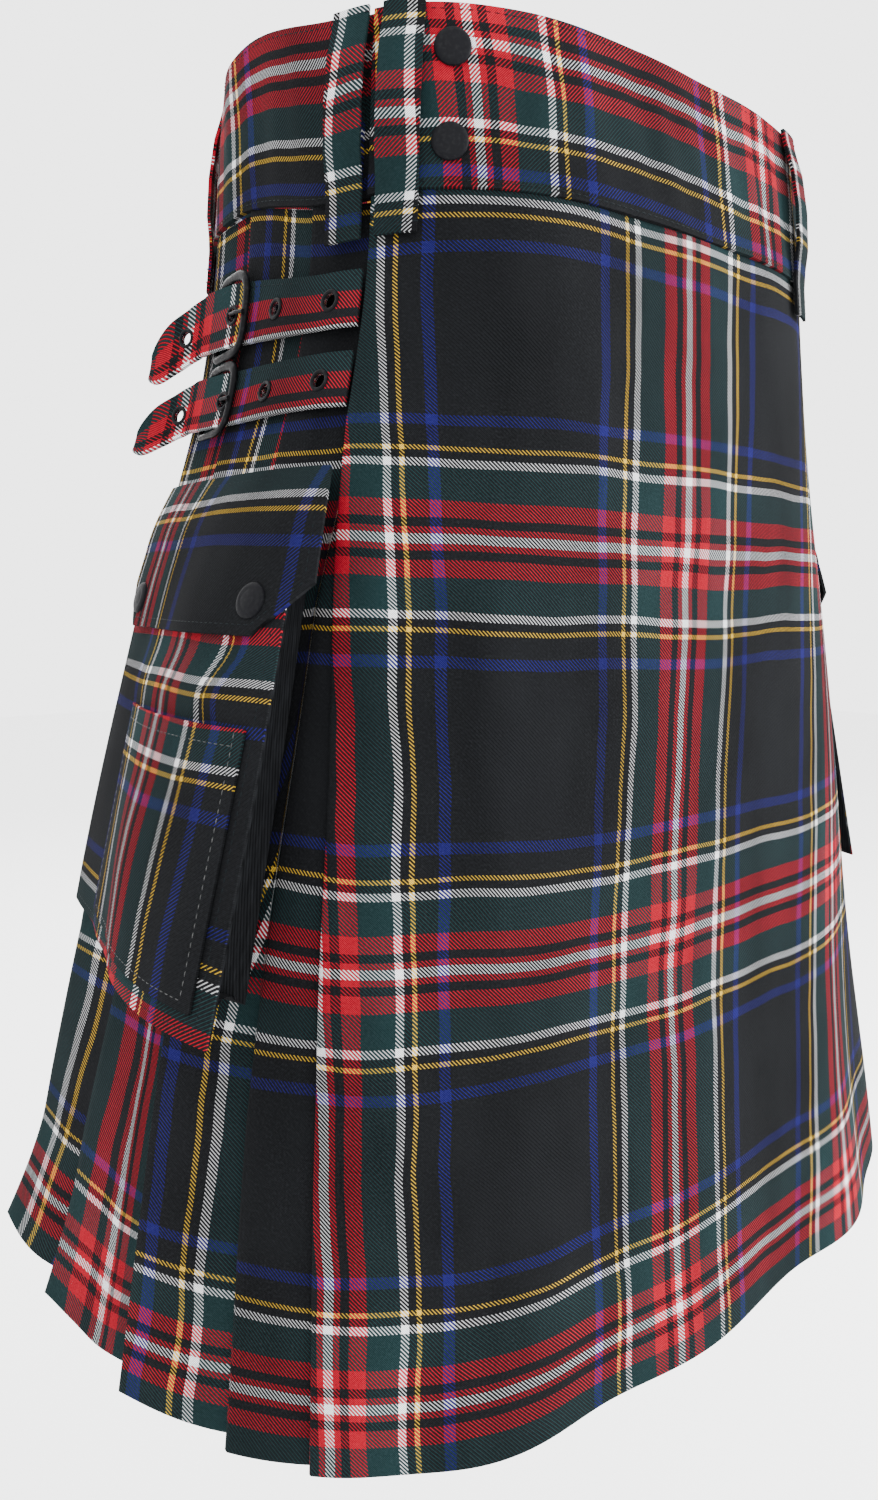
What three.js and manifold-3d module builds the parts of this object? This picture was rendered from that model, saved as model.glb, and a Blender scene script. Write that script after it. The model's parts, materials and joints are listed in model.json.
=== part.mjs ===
// Pleated utility kilt, millimetres. X is the wearer's left, -Y is the front, Z is up.
// The origin is at the middle of the waist, half way up the waistband.
// Places on the cloth are given by u, the share of the way round from the front centre
// towards the wearer's right, and by s, the distance down the cloth from the top edge.
import * as THREE from "three";
import Module from "manifold-3d";

const wasm = await Module();
wasm.setup();

const bandHeight = 74;
const clothLength = 610;
const seamGap = 0.3;
const clothThickness = 1.4;
const bandThickness = 3;
const strapWidth = 24;
const strapThickness = 1.8;
const loopWidth = 17;
const capRadius = 7.9;
const pocketTop = 222;
const pocketBottom = 420;
const pocketFullAt = 428; // the face fills out down to here
const flapTop = 190;
const flapBottom = 262;
const patchTop = 299;
const patchBottom = 409;

// Half widths and depths of the worn cloth at five distances down it
const sectionAt = [0, 90, 250, 430, 610];
const halfWidthRight = [155, 159, 197, 230, 257];
const halfWidthLeft = [161, 163, 193, 230, 261];
const depthFront = [117, 129, 142, 154, 176];
const depthBack = [112, 138, 172, 220, 268];
const roundnessFront = 3;
const roundnessBack = 2.6;

// Where the fold edges of the pleats lie, as shares of the way round
const pleatEdges = [0.2085, 0.262, 0.31, 0.355, 0.4, 0.443];
const apronLeft = 0.1725;
const pleatReturn = 0.75;

function along(s, values) {
  const at = sectionAt;
  const n = at.length;
  if (s <= at[0]) return values[0];
  let k = 0;
  while (k < n - 2 && s > at[k + 1]) k += 1;
  const slope = [];
  for (let i = 0; i < n - 1; i += 1) slope.push((values[i + 1] - values[i]) / (at[i + 1] - at[i]));
  const tangent = (i) => {
    if (i === 0) return slope[0];
    if (i === n - 1) return slope[n - 2];
    return slope[i - 1] * slope[i] <= 0 ? 0 : (2 * slope[i - 1] * slope[i]) / (slope[i - 1] + slope[i]);
  };
  const h = at[k + 1] - at[k];
  const t = (s - at[k]) / h;
  const a = values[k];
  const b = values[k + 1];
  const da = tangent(k) * h;
  const db = tangent(k + 1) * h;
  return (
    a * (2 * t ** 3 - 3 * t ** 2 + 1) +
    da * (t ** 3 - 2 * t ** 2 + t) +
    b * (3 * t ** 2 - 2 * t ** 3) +
    db * (t ** 3 - t ** 2)
  );
}

// A level ring of the worn form, with its running length
const rings = new Map();
function ring(s) {
  const key = Math.round(s * 100);
  if (rings.has(key)) return rings.get(key);
  const steps = 360;
  const points = [];
  const run = [0];
  for (let i = 0; i <= steps; i += 1) {
    const angle = -Math.PI / 2 - (2 * Math.PI * i) / steps;
    const c = Math.cos(angle);
    const d = Math.sin(angle);
    const n = d < 0 ? roundnessFront : roundnessBack;
    const wide = c < 0 ? along(s, halfWidthRight) : along(s, halfWidthLeft);
    const deep = d < 0 ? along(s, depthFront) : along(s, depthBack);
    const x = wide * Math.sign(c) * Math.abs(c) ** (2 / n);
    const y = deep * Math.sign(d) * Math.abs(d) ** (2 / n);
    points.push([x, y]);
    if (i > 0) run.push(run[i - 1] + Math.hypot(x - points[i - 1][0], y - points[i - 1][1]));
  }
  const found = { points, run, girth: run[steps] };
  rings.set(key, found);
  return found;
}

function onRing(s, u) {
  const { points, run, girth } = ring(s);
  const want = (u - Math.floor(u)) * girth;
  let low = 0;
  let high = run.length - 1;
  while (high - low > 1) {
    const middle = (low + high) >> 1;
    if (run[middle] <= want) low = middle;
    else high = middle;
  }
  const t = (want - run[low]) / (run[high] - run[low]);
  return [
    points[low][0] + t * (points[high][0] - points[low][0]),
    points[low][1] + t * (points[high][1] - points[low][1]),
  ];
}

// How far the cloth has come down at s, following its length as it flares
const fallStep = 30;
function fall(s, u) {
  let drop = 0;
  let done = 0;
  let here = onRing(0, u);
  while (done < s) {
    const next = Math.min(done + fallStep, s);
    const there = onRing(next, u);
    const out = Math.hypot(there[0] - here[0], there[1] - here[1]);
    drop += Math.sqrt(Math.max((next - done) ** 2 - out ** 2, 1e-6));
    here = there;
    done = next;
  }
  return s < 0 ? s : drop;
}

// The waist is worn higher round the back than over the apron
const backLift = 14;
const eased = (t) => {
  const c = Math.min(Math.max(t, 0), 1);
  return c * c * (3 - 2 * c);
};
function waistLift(u, s) {
  const round = u - Math.floor(u);
  const behind = Math.min(eased((round - 0.185) / 0.085), eased((0.82 - round) / 0.085));
  return backLift * behind * (1 - eased((s - bandHeight) / 86));
}

// The point at u and s, moved out from the form by a distance
function place(u, s, out) {
  const [x, y] = onRing(s, u);
  const a = onRing(s, u - 0.004);
  const b = onRing(s, u + 0.004);
  const dx = b[0] - a[0];
  const dy = b[1] - a[1];
  const length = Math.hypot(dx, dy);
  const z = bandHeight / 2 - fall(s, u) + waistLift(u, s);
  return [x - (dy / length) * out, y + (dx / length) * out, z];
}

// The front edge of the outer apron and the first fold edge below it
function edgeCurve(s, stations) {
  let k = 0;
  while (k < stations.length - 2 && s > stations[k + 1][0]) k += 1;
  const [s0, u0] = stations[k];
  const [s1, u1] = stations[k + 1];
  return u0 + (u1 - u0) * Math.min(Math.max((s - s0) / (s1 - s0), 0), 1);
}
const apronEdge = (s) =>
  edgeCurve(s, [[0, 0.1736], [170, 0.1733], [220, 0.1695], [340, 0.1583], [450, 0.1512], [610, 0.1442]]);
const firstFold = (s) =>
  edgeCurve(s, [[0, 0.17], [180, 0.1705], [250, 0.1756], [350, 0.1752], [470, 0.1736], [610, 0.1694]]);

// Layer spacing and depths, which open towards the hem
const down = (s) => Math.min(Math.max((s - 150) / (clothLength - 150), 0), 1);
const layerPitch = (s) => 1.9 + 3.1 * down(s) ** 1.5;
const underDepth = (s) => -4.6 - 3.4 * down(s);
const firstFoldDepth = (s) => -4.6 + 2.2 * down(s);
// The under apron sinks from its fold edge to where the outer apron covers it
function underAt(u, s) {
  const fold = firstFold(s) - 0.7 / ring(s).girth;
  const covered = apronEdge(s) - 0.012;
  const t = Math.min(Math.max((fold - u) / Math.max(fold - covered, 0.012), 0), 1);
  return firstFoldDepth(s) + (underDepth(s) - firstFoldDepth(s)) * t;
}

function solid(name, points, faces, colour, metal = 0) {
  let volume = 0;
  for (const [i, j, k] of faces) {
    const a = points[i];
    const b = points[j];
    const c = points[k];
    volume +=
      a[0] * (b[1] * c[2] - b[2] * c[1]) +
      a[1] * (b[2] * c[0] - b[0] * c[2]) +
      a[2] * (b[0] * c[1] - b[1] * c[0]);
  }
  const index = [];
  for (const [i, j, k] of faces) index.push(...(volume > 0 ? [i, j, k] : [i, k, j]));
  const geometry = new THREE.BufferGeometry();
  geometry.setAttribute("position", new THREE.Float32BufferAttribute(points.flat(), 3));
  geometry.setIndex(index);
  geometry.computeVertexNormals();
  const roughness = metal ? 0.4 : 0.9;
  const look = new THREE.MeshStandardMaterial({ color: colour, metalness: metal, roughness });
  look.name = metal ? "metal" : "cloth";
  const mesh = new THREE.Mesh(geometry, look);
  mesh.name = name;
  return mesh;
}

// A wall between two equal grids of points, closed round its rim
function wall(name, front, back, colour, metal = 0) {
  const rows = front.length;
  const columns = front[0].length;
  const points = [];
  for (const grid of [front, back]) for (const row of grid) for (const p of row) points.push(p);
  const id = (side, i, j) => side * rows * columns + i * columns + j;
  const faces = [];
  const quad = (a, b, c, d) => faces.push([a, b, c], [a, c, d]);
  for (let i = 0; i < rows - 1; i += 1) {
    for (let j = 0; j < columns - 1; j += 1) {
      quad(id(0, i, j), id(0, i, j + 1), id(0, i + 1, j + 1), id(0, i + 1, j));
      quad(id(1, i, j), id(1, i + 1, j), id(1, i + 1, j + 1), id(1, i, j + 1));
    }
  }
  for (let j = 0; j < columns - 1; j += 1) {
    quad(id(0, 0, j), id(1, 0, j), id(1, 0, j + 1), id(0, 0, j + 1));
    quad(id(0, rows - 1, j), id(0, rows - 1, j + 1), id(1, rows - 1, j + 1), id(1, rows - 1, j));
  }
  for (let i = 0; i < rows - 1; i += 1) {
    quad(id(0, i, 0), id(0, i + 1, 0), id(1, i + 1, 0), id(1, i, 0));
    quad(id(0, i, columns - 1), id(1, i, columns - 1), id(1, i + 1, columns - 1), id(0, i + 1, columns - 1));
  }
  return solid(name, points, faces, colour, metal);
}

// A wall that follows a path at each level. The path holds [u, out] for the middle of
// the cloth, and may turn back on itself in folds.
function ribbon(name, levels, path, thickness, colour) {
  const front = [];
  const back = [];
  for (const s of levels) {
    const girth = ring(s).girth;
    const flat = path(s).map(([u, out]) => [u * girth, out]);
    const sides = [[], []];
    flat.forEach((p, i) => {
      const before = flat[Math.max(i - 1, 0)];
      const after = flat[Math.min(i + 1, flat.length - 1)];
      const unit = (a, b) => {
        const l = Math.hypot(b[0] - a[0], b[1] - a[1]) || 1;
        return [(b[0] - a[0]) / l, (b[1] - a[1]) / l];
      };
      const d0 = i > 0 ? unit(before, p) : unit(p, after);
      const d1 = i < flat.length - 1 ? unit(p, after) : d0;
      const nx = -d0[1] - d1[1];
      const ny = d0[0] + d1[0];
      const scale = thickness / 2 / ((nx * -d0[1] + ny * d0[0]) || 1);
      sides[0].push(place((p[0] + nx * scale) / girth, s, p[1] + ny * scale));
      sides[1].push(place((p[0] - nx * scale) / girth, s, p[1] - ny * scale));
    });
    front.push(sides[0]);
    back.push(sides[1]);
  }
  return wall(name, front, back, colour);
}

function spread(from, to, count) {
  const list = [];
  for (let i = 0; i <= count; i += 1) list.push(from + ((to - from) * i) / count);
  return list;
}

const group = new THREE.Group();
const green = 0x24453d;
const navy = 0x22262c;
const steel = 0x3b3a38;
const skirtLevels = [bandHeight + seamGap, 102, 132, 170, 230, 310, 400, 500, clothLength];
const bandLevels = [0, bandHeight / 2, bandHeight - seamGap];

// Waistband: the apron's stretch, the stretch round the back, and the hidden under stretch
group.add(
  ribbon(
    "waistband_apron",
    bandLevels,
    (s) => spread(apronEdge(s), -apronLeft, 26).map((u) => [u, 0]),
    bandThickness,
    green,
  ),
);
const backBandStart = 0.178;
group.add(
  ribbon(
    "waistband_back",
    bandLevels,
    () => spread(backBandStart, 1 - apronLeft - 0.0005, 76).map((u) => [u, 0]),
    bandThickness,
    green,
  ),
);
group.add(
  ribbon(
    "waistband_under",
    bandLevels,
    () => spread(backBandStart - 0.0012, -apronLeft + 0.02, 26).map((u) => [u, -3.5]),
    bandThickness,
    navy,
  ),
);

// Outer apron, from its turned edge across the front to the fold at the left hip
const turnWidth = 30;
group.add(
  ribbon(
    "outer_apron",
    skirtLevels,
    (s) => {
      const girth = ring(s).girth;
      const edge = apronEdge(s) - 0.7 / girth;
      const turn = spread(edge - turnWidth / girth, edge, 2);
      const leftFold = -apronLeft + 0.7 / girth;
      const inner = spread(leftFold, leftFold + 0.03, 2);
      const across = spread(turn[0], inner[2], 18);
      const pitch = layerPitch(s);
      const faced = (u) => [u, -0.7 - 1.9];
      return [
        ...turn.map(faced),
        ...turn.slice().reverse().map((u) => [u, -0.7]),
        ...across.slice(1).map((u) => [u, -0.7]),
        ...inner.slice(0, 2).reverse().map((u) => [u, -0.7]),
        ...inner.map((u) => [u, -0.7 - pitch]),
      ];
    },
    clothThickness,
    green,
  ),
);

// Under apron, whose fold edge shows past the outer apron
group.add(
  ribbon(
    "under_apron",
    skirtLevels,
    (s) => {
      const girth = ring(s).girth;
      const fold = firstFold(s) - 0.7 / girth;
      const edge = apronEdge(s) - 0.012;
      const inner = spread(fold, fold - 0.026, 2);
      const pitch = layerPitch(s);
      const across = spread(edge - 0.02, -apronLeft + 0.045, 18);
      return [
        ...inner.slice().reverse().map((u) => [u, underAt(u, s) - pitch]),
        ...inner.map((u) => [u, underAt(u, s)]),
        ...across.map((u) => [u, underDepth(s)]),
      ];
    },
    clothThickness,
    navy,
  ),
);

// The pleats of one side, laid like roof tiles with the fold edges towards the back
function pleatPath(s, foldAt, above, mirror) {
  const girth = ring(s).girth;
  const pitch = layerPitch(s);
  const folds = [foldAt, ...pleatEdges.map((u) => u - 0.7 / girth)];
  const depths = [above(foldAt), ...pleatEdges.map(() => -clothThickness / 2)];
  const path = [];
  let lead = spread(foldAt - 0.026, foldAt, 2).map((u) => [u, above(u) - 2 * pitch]);
  for (let k = 1; k < folds.length; k += 1) {
    const width = folds[k] - folds[k - 1];
    const back = folds[k] - width * pleatReturn;
    const middle = (back + folds[k]) / 2;
    const low = depths[k - 1] - 2 * pitch;
    const depth = (u) => low + ((depths[k] - low) * (u - folds[k - 1])) / width;
    path.push(...lead);
    for (const u of [back, middle, folds[k]]) path.push([u, depth(u)]);
    for (const u of [folds[k], middle, back]) path.push([u, depth(u) - pitch]);
    lead = [back, middle, folds[k]].map((u) => [u, depth(u) - 2 * pitch]);
  }
  path.push(...lead);
  const last = depths[depths.length - 1] - 2 * pitch;
  for (const u of spread(folds[folds.length - 1], 0.4997, 3).slice(1)) path.push([u, last]);
  return mirror ? path.map(([u, out]) => [1 - u, out]) : path;
}
group.add(
  ribbon(
    "pleats_right",
    skirtLevels,
    (s) => pleatPath(s, firstFold(s) - 0.7 / ring(s).girth, (u) => underAt(u, s), false),
    clothThickness,
    green,
  ),
);
group.add(
  ribbon(
    "pleats_left",
    skirtLevels,
    (s) => pleatPath(s, apronLeft - 0.7 / ring(s).girth, () => -clothThickness / 2, true),
    clothThickness,
    green,
  ),
);

// A piece laid over the form between two side lines and two level lines, which may lean
function panel(name, us, ends, rows, out, thickness, colour, lean = () => 0) {
  const front = [];
  const back = [];
  for (let i = 0; i <= rows; i += 1) {
    front.push([]);
    back.push([]);
    for (const u of us) {
      const [top, bottom] = ends(u);
      const s = top + ((bottom - top) * i) / rows;
      const level = out(u, s);
      const v = u + lean(u, s, level);
      front[i].push(place(v, s, level));
      back[i].push(place(v, s, level - thickness));
    }
  }
  return wall(name, front, back, colour);
}

// Bellows pocket with a flap and a patch pocket on it, on each hip
const pocketFrontEdge = 0.1825;
const pocketBackEdge = 0.3;
const pocketFlatFrom = 0.272;
const clamped = (t) => Math.min(Math.max(t, 0), 1);
const across = (u, a, b) => Math.sin(Math.PI * clamped((u - a) / (b - a)));

// It lies flat towards the back, where its bottom edge climbs, and its front edge stands off
const standing = (u) => (1 - clamped((u - pocketFrontEdge) / (pocketFlatFrom - pocketFrontEdge))) ** 1.5;
const bottomRise = (u) => 8 * clamped((u - 0.2) / 0.1);
// What stands off also leans forward, towards the front of the kilt
const forward = (u, out) => -0.0165 * (1 - Math.exp(-out / 28)) * standing(u);

function pocket(side) {
  const fullness = side === "right" ? 1 : 0.55;
  const at = (u) => (side === "right" ? u : 1 - u);
  const face = (u, s) => {
    const t = clamped((s - pocketTop) / (pocketFullAt - pocketTop));
    const belly = across(u, pocketFrontEdge, pocketBackEdge) * (1 + 1.5 * t);
    return 5 + 3 * t + fullness * (10 + 26 * t ** 0.8) * standing(u) + belly;
  };
  const leaned = (u, out) => at(u + forward(u, out));
  const columns = spread(pocketFrontEdge, pocketBackEdge, 8);
  const named = (what) => `pocket_${side}_${what}`;
  const pieces = [];
  pieces.push(
    panel(
      named("front"),
      columns.map(at),
      (u) => [pocketTop, pocketBottom - bottomRise(at(u))],
      5,
      (u, s) => face(at(u), s),
      clothThickness,
      green,
      (u, s, out) => leaned(at(u), out) - u,
    ),
  );
  // The gusset goes down one side, along the bottom and up the other side
  const wallIn = clothThickness;
  const girth = ring((pocketTop + pocketBottom) / 2).girth;
  const inset = wallIn / girth;
  const outer = [];
  const inner = [];
  const add = (u, s, du, ds) => {
    outer.push([u, s]);
    inner.push([u + du, s + ds]);
  };
  const lowest = (u) => pocketBottom - 0.01 - bottomRise(u);
  spread(pocketTop, lowest(pocketFrontEdge), 5).forEach((s, i) => {
    add(pocketFrontEdge, s, inset, i === 5 ? -wallIn : 0);
  });
  for (const u of columns.slice(1, -1)) add(u, lowest(u), 0, -wallIn);
  spread(lowest(pocketBackEdge), pocketTop, 5).forEach((s, i) => {
    add(pocketBackEdge, s, -inset, i === 0 ? -wallIn : 0);
  });
  // It is sewn to the pleats a little further forward than the pocket's own edge
  const low = 0.6;
  const sewn = (u) => at(u - 0.0055 * standing(u));
  const underFace = (u, s) => place(leaned(u, face(u, s)), s, face(u, s) - clothThickness - 2 * seamGap);
  const gusset = [
    outer.map(([u, s]) => place(sewn(u), s, low)),
    outer.map(([u, s]) => underFace(u, s)),
  ];
  const lining = [
    inner.map(([u, s]) => place(sewn(u), s, low)),
    inner.map(([u, s]) => underFace(u, s)),
  ];
  pieces.push(wall(named("gusset"), gusset, lining, navy));
  // The flap has cut corners and lies over the pocket's mouth
  const flapFront = 0.1738;
  const flapBack = 0.3025;
  const cutAcross = 0.0175;
  const cutUp = 22;
  const flapColumns = [
    flapFront,
    pocketFrontEdge,
    flapFront + cutAcross,
    ...spread(flapFront + cutAcross, flapBack - cutAcross, 7).slice(1, -1),
    flapBack - cutAcross,
    flapBack,
  ];
  const overFace = 1.1;
  const flapOut = (u, s) => {
    const t = Math.min((s - flapTop) / (pocketTop - flapTop), 1);
    const over = face(Math.min(Math.max(u, pocketFrontEdge), pocketBackEdge), Math.max(s, pocketTop));
    return 2.8 + (over + overFace + clothThickness - 2.8) * Math.sin((Math.PI / 2) * t);
  };
  const flapLeaned = (u, s) => leaned(u, flapOut(u, s) - overFace - clothThickness);
  const bottomOf = (u) => {
    const side1 = Math.min(Math.max((u - flapFront) / cutAcross, 0), 1);
    const side2 = Math.min(Math.max((flapBack - u) / cutAcross, 0), 1);
    return flapBottom - cutUp * (1 - Math.min(side1, side2));
  };
  pieces.push(
    panel(
      named("flap"),
      flapColumns.map(at),
      (u) => [flapTop, bottomOf(at(u))],
      6,
      (u, s) => flapOut(at(u), s),
      clothThickness + 0.4,
      green,
      (u, s) => flapLeaned(at(u), s) - u,
    ),
  );
  const patchFront = 0.187;
  const patchBack = 0.266;
  pieces.push(
    panel(
      named("patch"),
      spread(patchFront, patchBack, 8).map(at),
      (u) => [patchTop, patchBottom - bottomRise(at(u))],
      4,
      (u, s) => {
        const full = across(at(u), patchFront, patchBack);
        const sag = Math.sin(Math.PI * Math.min((patchBottom - s) / (patchBottom - patchTop), 0.75));
        return face(at(u), s) + seamGap + 0.6 + clothThickness + 3 * full * sag;
      },
      clothThickness,
      green,
      (u, s) => leaned(at(u), face(at(u), s)) - u,
    ),
  );
  const onFlap = (u, s) => new THREE.Vector3(...place(flapLeaned(u, s), s, flapOut(u, s)));
  return { pieces, onFlap };
}

// A round piece turned about the outward direction at a place on the cloth
function frameAt(u, s, out) {
  const middle = new THREE.Vector3(...place(u, s, out));
  const outward = new THREE.Vector3(...place(u, s, out + 10)).sub(middle).normalize();
  const lower = new THREE.Vector3(...place(u, s + 4, out)).sub(new THREE.Vector3(...place(u, s - 4, out)));
  const back = new THREE.Vector3().crossVectors(lower.normalize(), outward).normalize();
  const out2 = new THREE.Vector3().crossVectors(back, lower).normalize();
  return { middle, back, lower, outward: out2 };
}
function turned(name, frame, profile, sides, colour, metal = 1) {
  const points = [];
  const faces = [];
  const count = profile.length;
  const toWorld = (x, y, z) => {
    const p = frame.middle.clone();
    p.addScaledVector(frame.back, x).addScaledVector(frame.lower, y).addScaledVector(frame.outward, z);
    return [p.x, p.y, p.z];
  };
  for (let i = 0; i < sides; i += 1) {
    const angle = (2 * Math.PI * i) / sides;
    for (const [r, z] of profile) points.push(toWorld(r * Math.cos(angle), r * Math.sin(angle), z));
  }
  const closed = profile[0][0] > 0.01;
  const steps = closed ? count : count - 1;
  for (let i = 0; i < sides; i += 1) {
    const next = (i + 1) % sides;
    for (let j = 0; j < steps; j += 1) {
      const k = (j + 1) % count;
      const a = i * count + j;
      const b = i * count + k;
      const c = next * count + k;
      const d = next * count + j;
      if (profile[j][0] > 0.01) faces.push([a, b, d]);
      if (profile[k][0] > 0.01) faces.push([b, c, d]);
    }
  }
  if (closed) return solid(name, points, faces, colour, metal);
  // The two pole points are shared by all the sides
  const used = [];
  const ids = points.map((p, i) => {
    const j = i % count;
    const pole = profile[j][0] <= 0.01;
    const key = pole ? `pole${j}` : `p${i}`;
    let at = used.findIndex((q) => q.key === key);
    if (at < 0) {
      used.push({ key, p });
      at = used.length - 1;
    }
    return at;
  });
  return solid(
    name,
    used.map((q) => q.p),
    faces.map((f) => f.map((i) => ids[i])),
    colour,
    metal,
  );
}
const snapProfile = (r, h) => [[0, h], [r * 0.55, h * 0.92], [r * 0.88, h * 0.6], [r, 0], [0, 0]];

for (const side of ["right", "left"]) {
  const { pieces, onFlap } = pocket(side);
  group.add(...pieces);
  for (const [k, u] of [[1, 0.1925], [2, 0.284]]) {
    const s = 248;
    const middle = onFlap(u, s);
    const back = onFlap(u + 0.003, s).sub(onFlap(u - 0.003, s)).normalize();
    const upward = onFlap(u, s + 4).sub(onFlap(u, s - 4));
    const outward = new THREE.Vector3().crossVectors(back, upward).normalize();
    if (outward.x * middle.x < 0) outward.negate();
    const lower = new THREE.Vector3().crossVectors(outward, back).normalize();
    middle.addScaledVector(outward, 0.6);
    const frame = { middle, back, lower, outward };
    group.add(turned(`snap_flap_${side}_${k}`, frame, snapProfile(capRadius, 2.4), 14, steel));
  }
}
for (const [where, s] of [["upper", 18], ["lower", 56]]) {
  const frame = frameAt(0.1375, s, bandThickness / 2 + 0.5);
  group.add(turned(`snap_waist_${where}`, frame, snapProfile(capRadius, 2.4), 14, steel));
}

// Belt loops stand off the band and are sewn down above and below it
function beltLoop(name, u, base) {
  const half = loopWidth / 2 / ring(0).girth;
  const stations = [[-1, 0], [6, 0.4], [16, 3.2], [37, 4.4], [58, 3.2], [70, 0.6], [92, 0]];
  const front = [];
  const back = [];
  for (const [s, lift] of stations) {
    const out = base + lift + seamGap + 1.6;
    front.push(spread(u - half, u + half, 2).map((v) => place(v, s, out)));
    back.push(spread(u - half, u + half, 2).map((v) => place(v, s, out - 1.6)));
  }
  return wall(name, front, back, green);
}
const onBand = bandThickness / 2 + 0.2;
group.add(beltLoop("loop_apron", 0.159, onBand));
group.add(beltLoop("loop_right", 0.1845, onBand));
group.add(beltLoop("loop_right_back", 0.345, onBand));
group.add(beltLoop("loop_back", 0.5, onBand));
group.add(beltLoop("loop_left_back", 0.655, onBand));
group.add(beltLoop("loop_left", 0.8975, onBand));

// Two straps run back from the apron's edge through the buckles, and their tips stand off
const buckleAt = 0.2648;
const buckleHalf = 16;
const barRadius = 1.5;
const eyeletRuns = [14, 51, 88, 125];
function strapOut(run, girth) {
  const right = (buckleAt - 0.1745) * girth - buckleHalf;
  const left = right + 2 * buckleHalf;
  const stations = [
    [0, 0.9], [12, 2.7], [right, 2.7], [left, 6.7],
    [left + 10, 8.4], [left + 20, 14], [left + 36, 27],
  ];
  let k = 0;
  while (k < stations.length - 2 && run > stations[k + 1][0]) k += 1;
  const [a, p] = stations[k];
  const [b, q] = stations[k + 1];
  return p + ((q - p) * (run - a)) / (b - a);
}
function strap(which, middle) {
  const girth = ring(middle).girth;
  const start = 0.1738 + 0.4 / girth;
  const right = (buckleAt - start) * girth - buckleHalf;
  const runs = [...spread(0, right, 8), ...spread(right, right + 2 * buckleHalf, 4).slice(1)];
  runs.push(...spread(runs[runs.length - 1], right + 64, 4).slice(1), right + 68);
  const front = [];
  const back = [];
  for (const run of runs) {
    const tip = run > right + 65 ? 0.55 : 1;
    const u = start + run / girth;
    const out = strapOut(run, girth);
    const rows = spread(middle - (tip * strapWidth) / 2, middle + (tip * strapWidth) / 2, 2);
    front.push(rows.map((s) => place(u, s, out)));
    back.push(rows.map((s) => place(u, s, out - strapThickness)));
  }
  let body = wall(`strap_${which}`, front, back, green);
  // The four holes, each with its ring
  const { Manifold, Mesh } = wasm;
  const toManifold = (mesh) => {
    const g = mesh.geometry;
    return new Manifold(
      new Mesh({ numProp: 3, vertProperties: g.attributes.position.array, triVerts: new Uint32Array(g.index.array) }),
    );
  };
  let cut = toManifold(body);
  const rings4 = [];
  const holeFrames = [];
  eyeletRuns.forEach((run, k) => {
    const u = start + run / girth;
    const frame = frameAt(u, middle, strapOut(run, girth));
    const slope = (strapOut(run + 3, girth) - strapOut(run - 3, girth)) / 6;
    const tilt = Math.atan(slope);
    const back2 = frame.back.clone().multiplyScalar(Math.cos(tilt)).addScaledVector(frame.outward, Math.sin(tilt));
    const out2 = frame.outward.clone().multiplyScalar(Math.cos(tilt)).addScaledVector(frame.back, -Math.sin(tilt));
    const turnedFrame = { middle: frame.middle, back: back2, lower: frame.lower, outward: out2 };
    const hole = turned("hole", turnedFrame, [[0, 4], [3.7, 4], [3.7, -6], [0, -6]], 12, steel);
    cut = cut.subtract(toManifold(hole));
    const rim = [[2.6, 1.05], [4.8, 1.05], [4.9, 0.6], [3.1, 0.6], [3.1, -1.8], [2.6, -1.8]];
    rings4.push(turned(`eyelet_${which}_${k + 1}`, turnedFrame, rim, 12, steel));
    holeFrames.push(turnedFrame);
  });
  const made = cut.getMesh();
  const geometry = new THREE.BufferGeometry();
  geometry.setAttribute("position", new THREE.Float32BufferAttribute(made.vertProperties, 3));
  geometry.setIndex(Array.from(made.triVerts));
  geometry.computeVertexNormals();
  body = new THREE.Mesh(geometry, body.material);
  body.name = `strap_${which}`;
  return { body, rings4, girth, hole: holeFrames[2] };
}

// A round bar swept through points
function bar(name, points, radius, sides, closed, colour) {
  const verts = [];
  const faces = [];
  const count = points.length;
  let side = null;
  for (let i = 0; i < count; i += 1) {
    const before = closed ? points[(i + count - 1) % count] : points[Math.max(i - 1, 0)];
    const after = closed ? points[(i + 1) % count] : points[Math.min(i + 1, count - 1)];
    const way = after.clone().sub(before).normalize();
    if (!side) side = new THREE.Vector3(0, 0, 1).cross(way).normalize();
    side.addScaledVector(way, -side.dot(way)).normalize();
    const other = new THREE.Vector3().crossVectors(way, side);
    for (let j = 0; j < sides; j += 1) {
      const angle = (2 * Math.PI * j) / sides;
      const p = points[i].clone();
      p.addScaledVector(side, radius * Math.cos(angle)).addScaledVector(other, radius * Math.sin(angle));
      verts.push([p.x, p.y, p.z]);
    }
  }
  const rows = closed ? count : count - 1;
  for (let i = 0; i < rows; i += 1) {
    const n = (i + 1) % count;
    for (let j = 0; j < sides; j += 1) {
      const k = (j + 1) % sides;
      faces.push([i * sides + j, n * sides + j, n * sides + k], [i * sides + j, n * sides + k, i * sides + k]);
    }
  }
  if (!closed) {
    for (let j = 1; j < sides - 1; j += 1) {
      faces.push([0, j, j + 1]);
      const e = (count - 1) * sides;
      faces.push([e, e + j + 1, e + j]);
    }
  }
  return solid(name, verts, faces, colour, 1);
}

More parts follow.
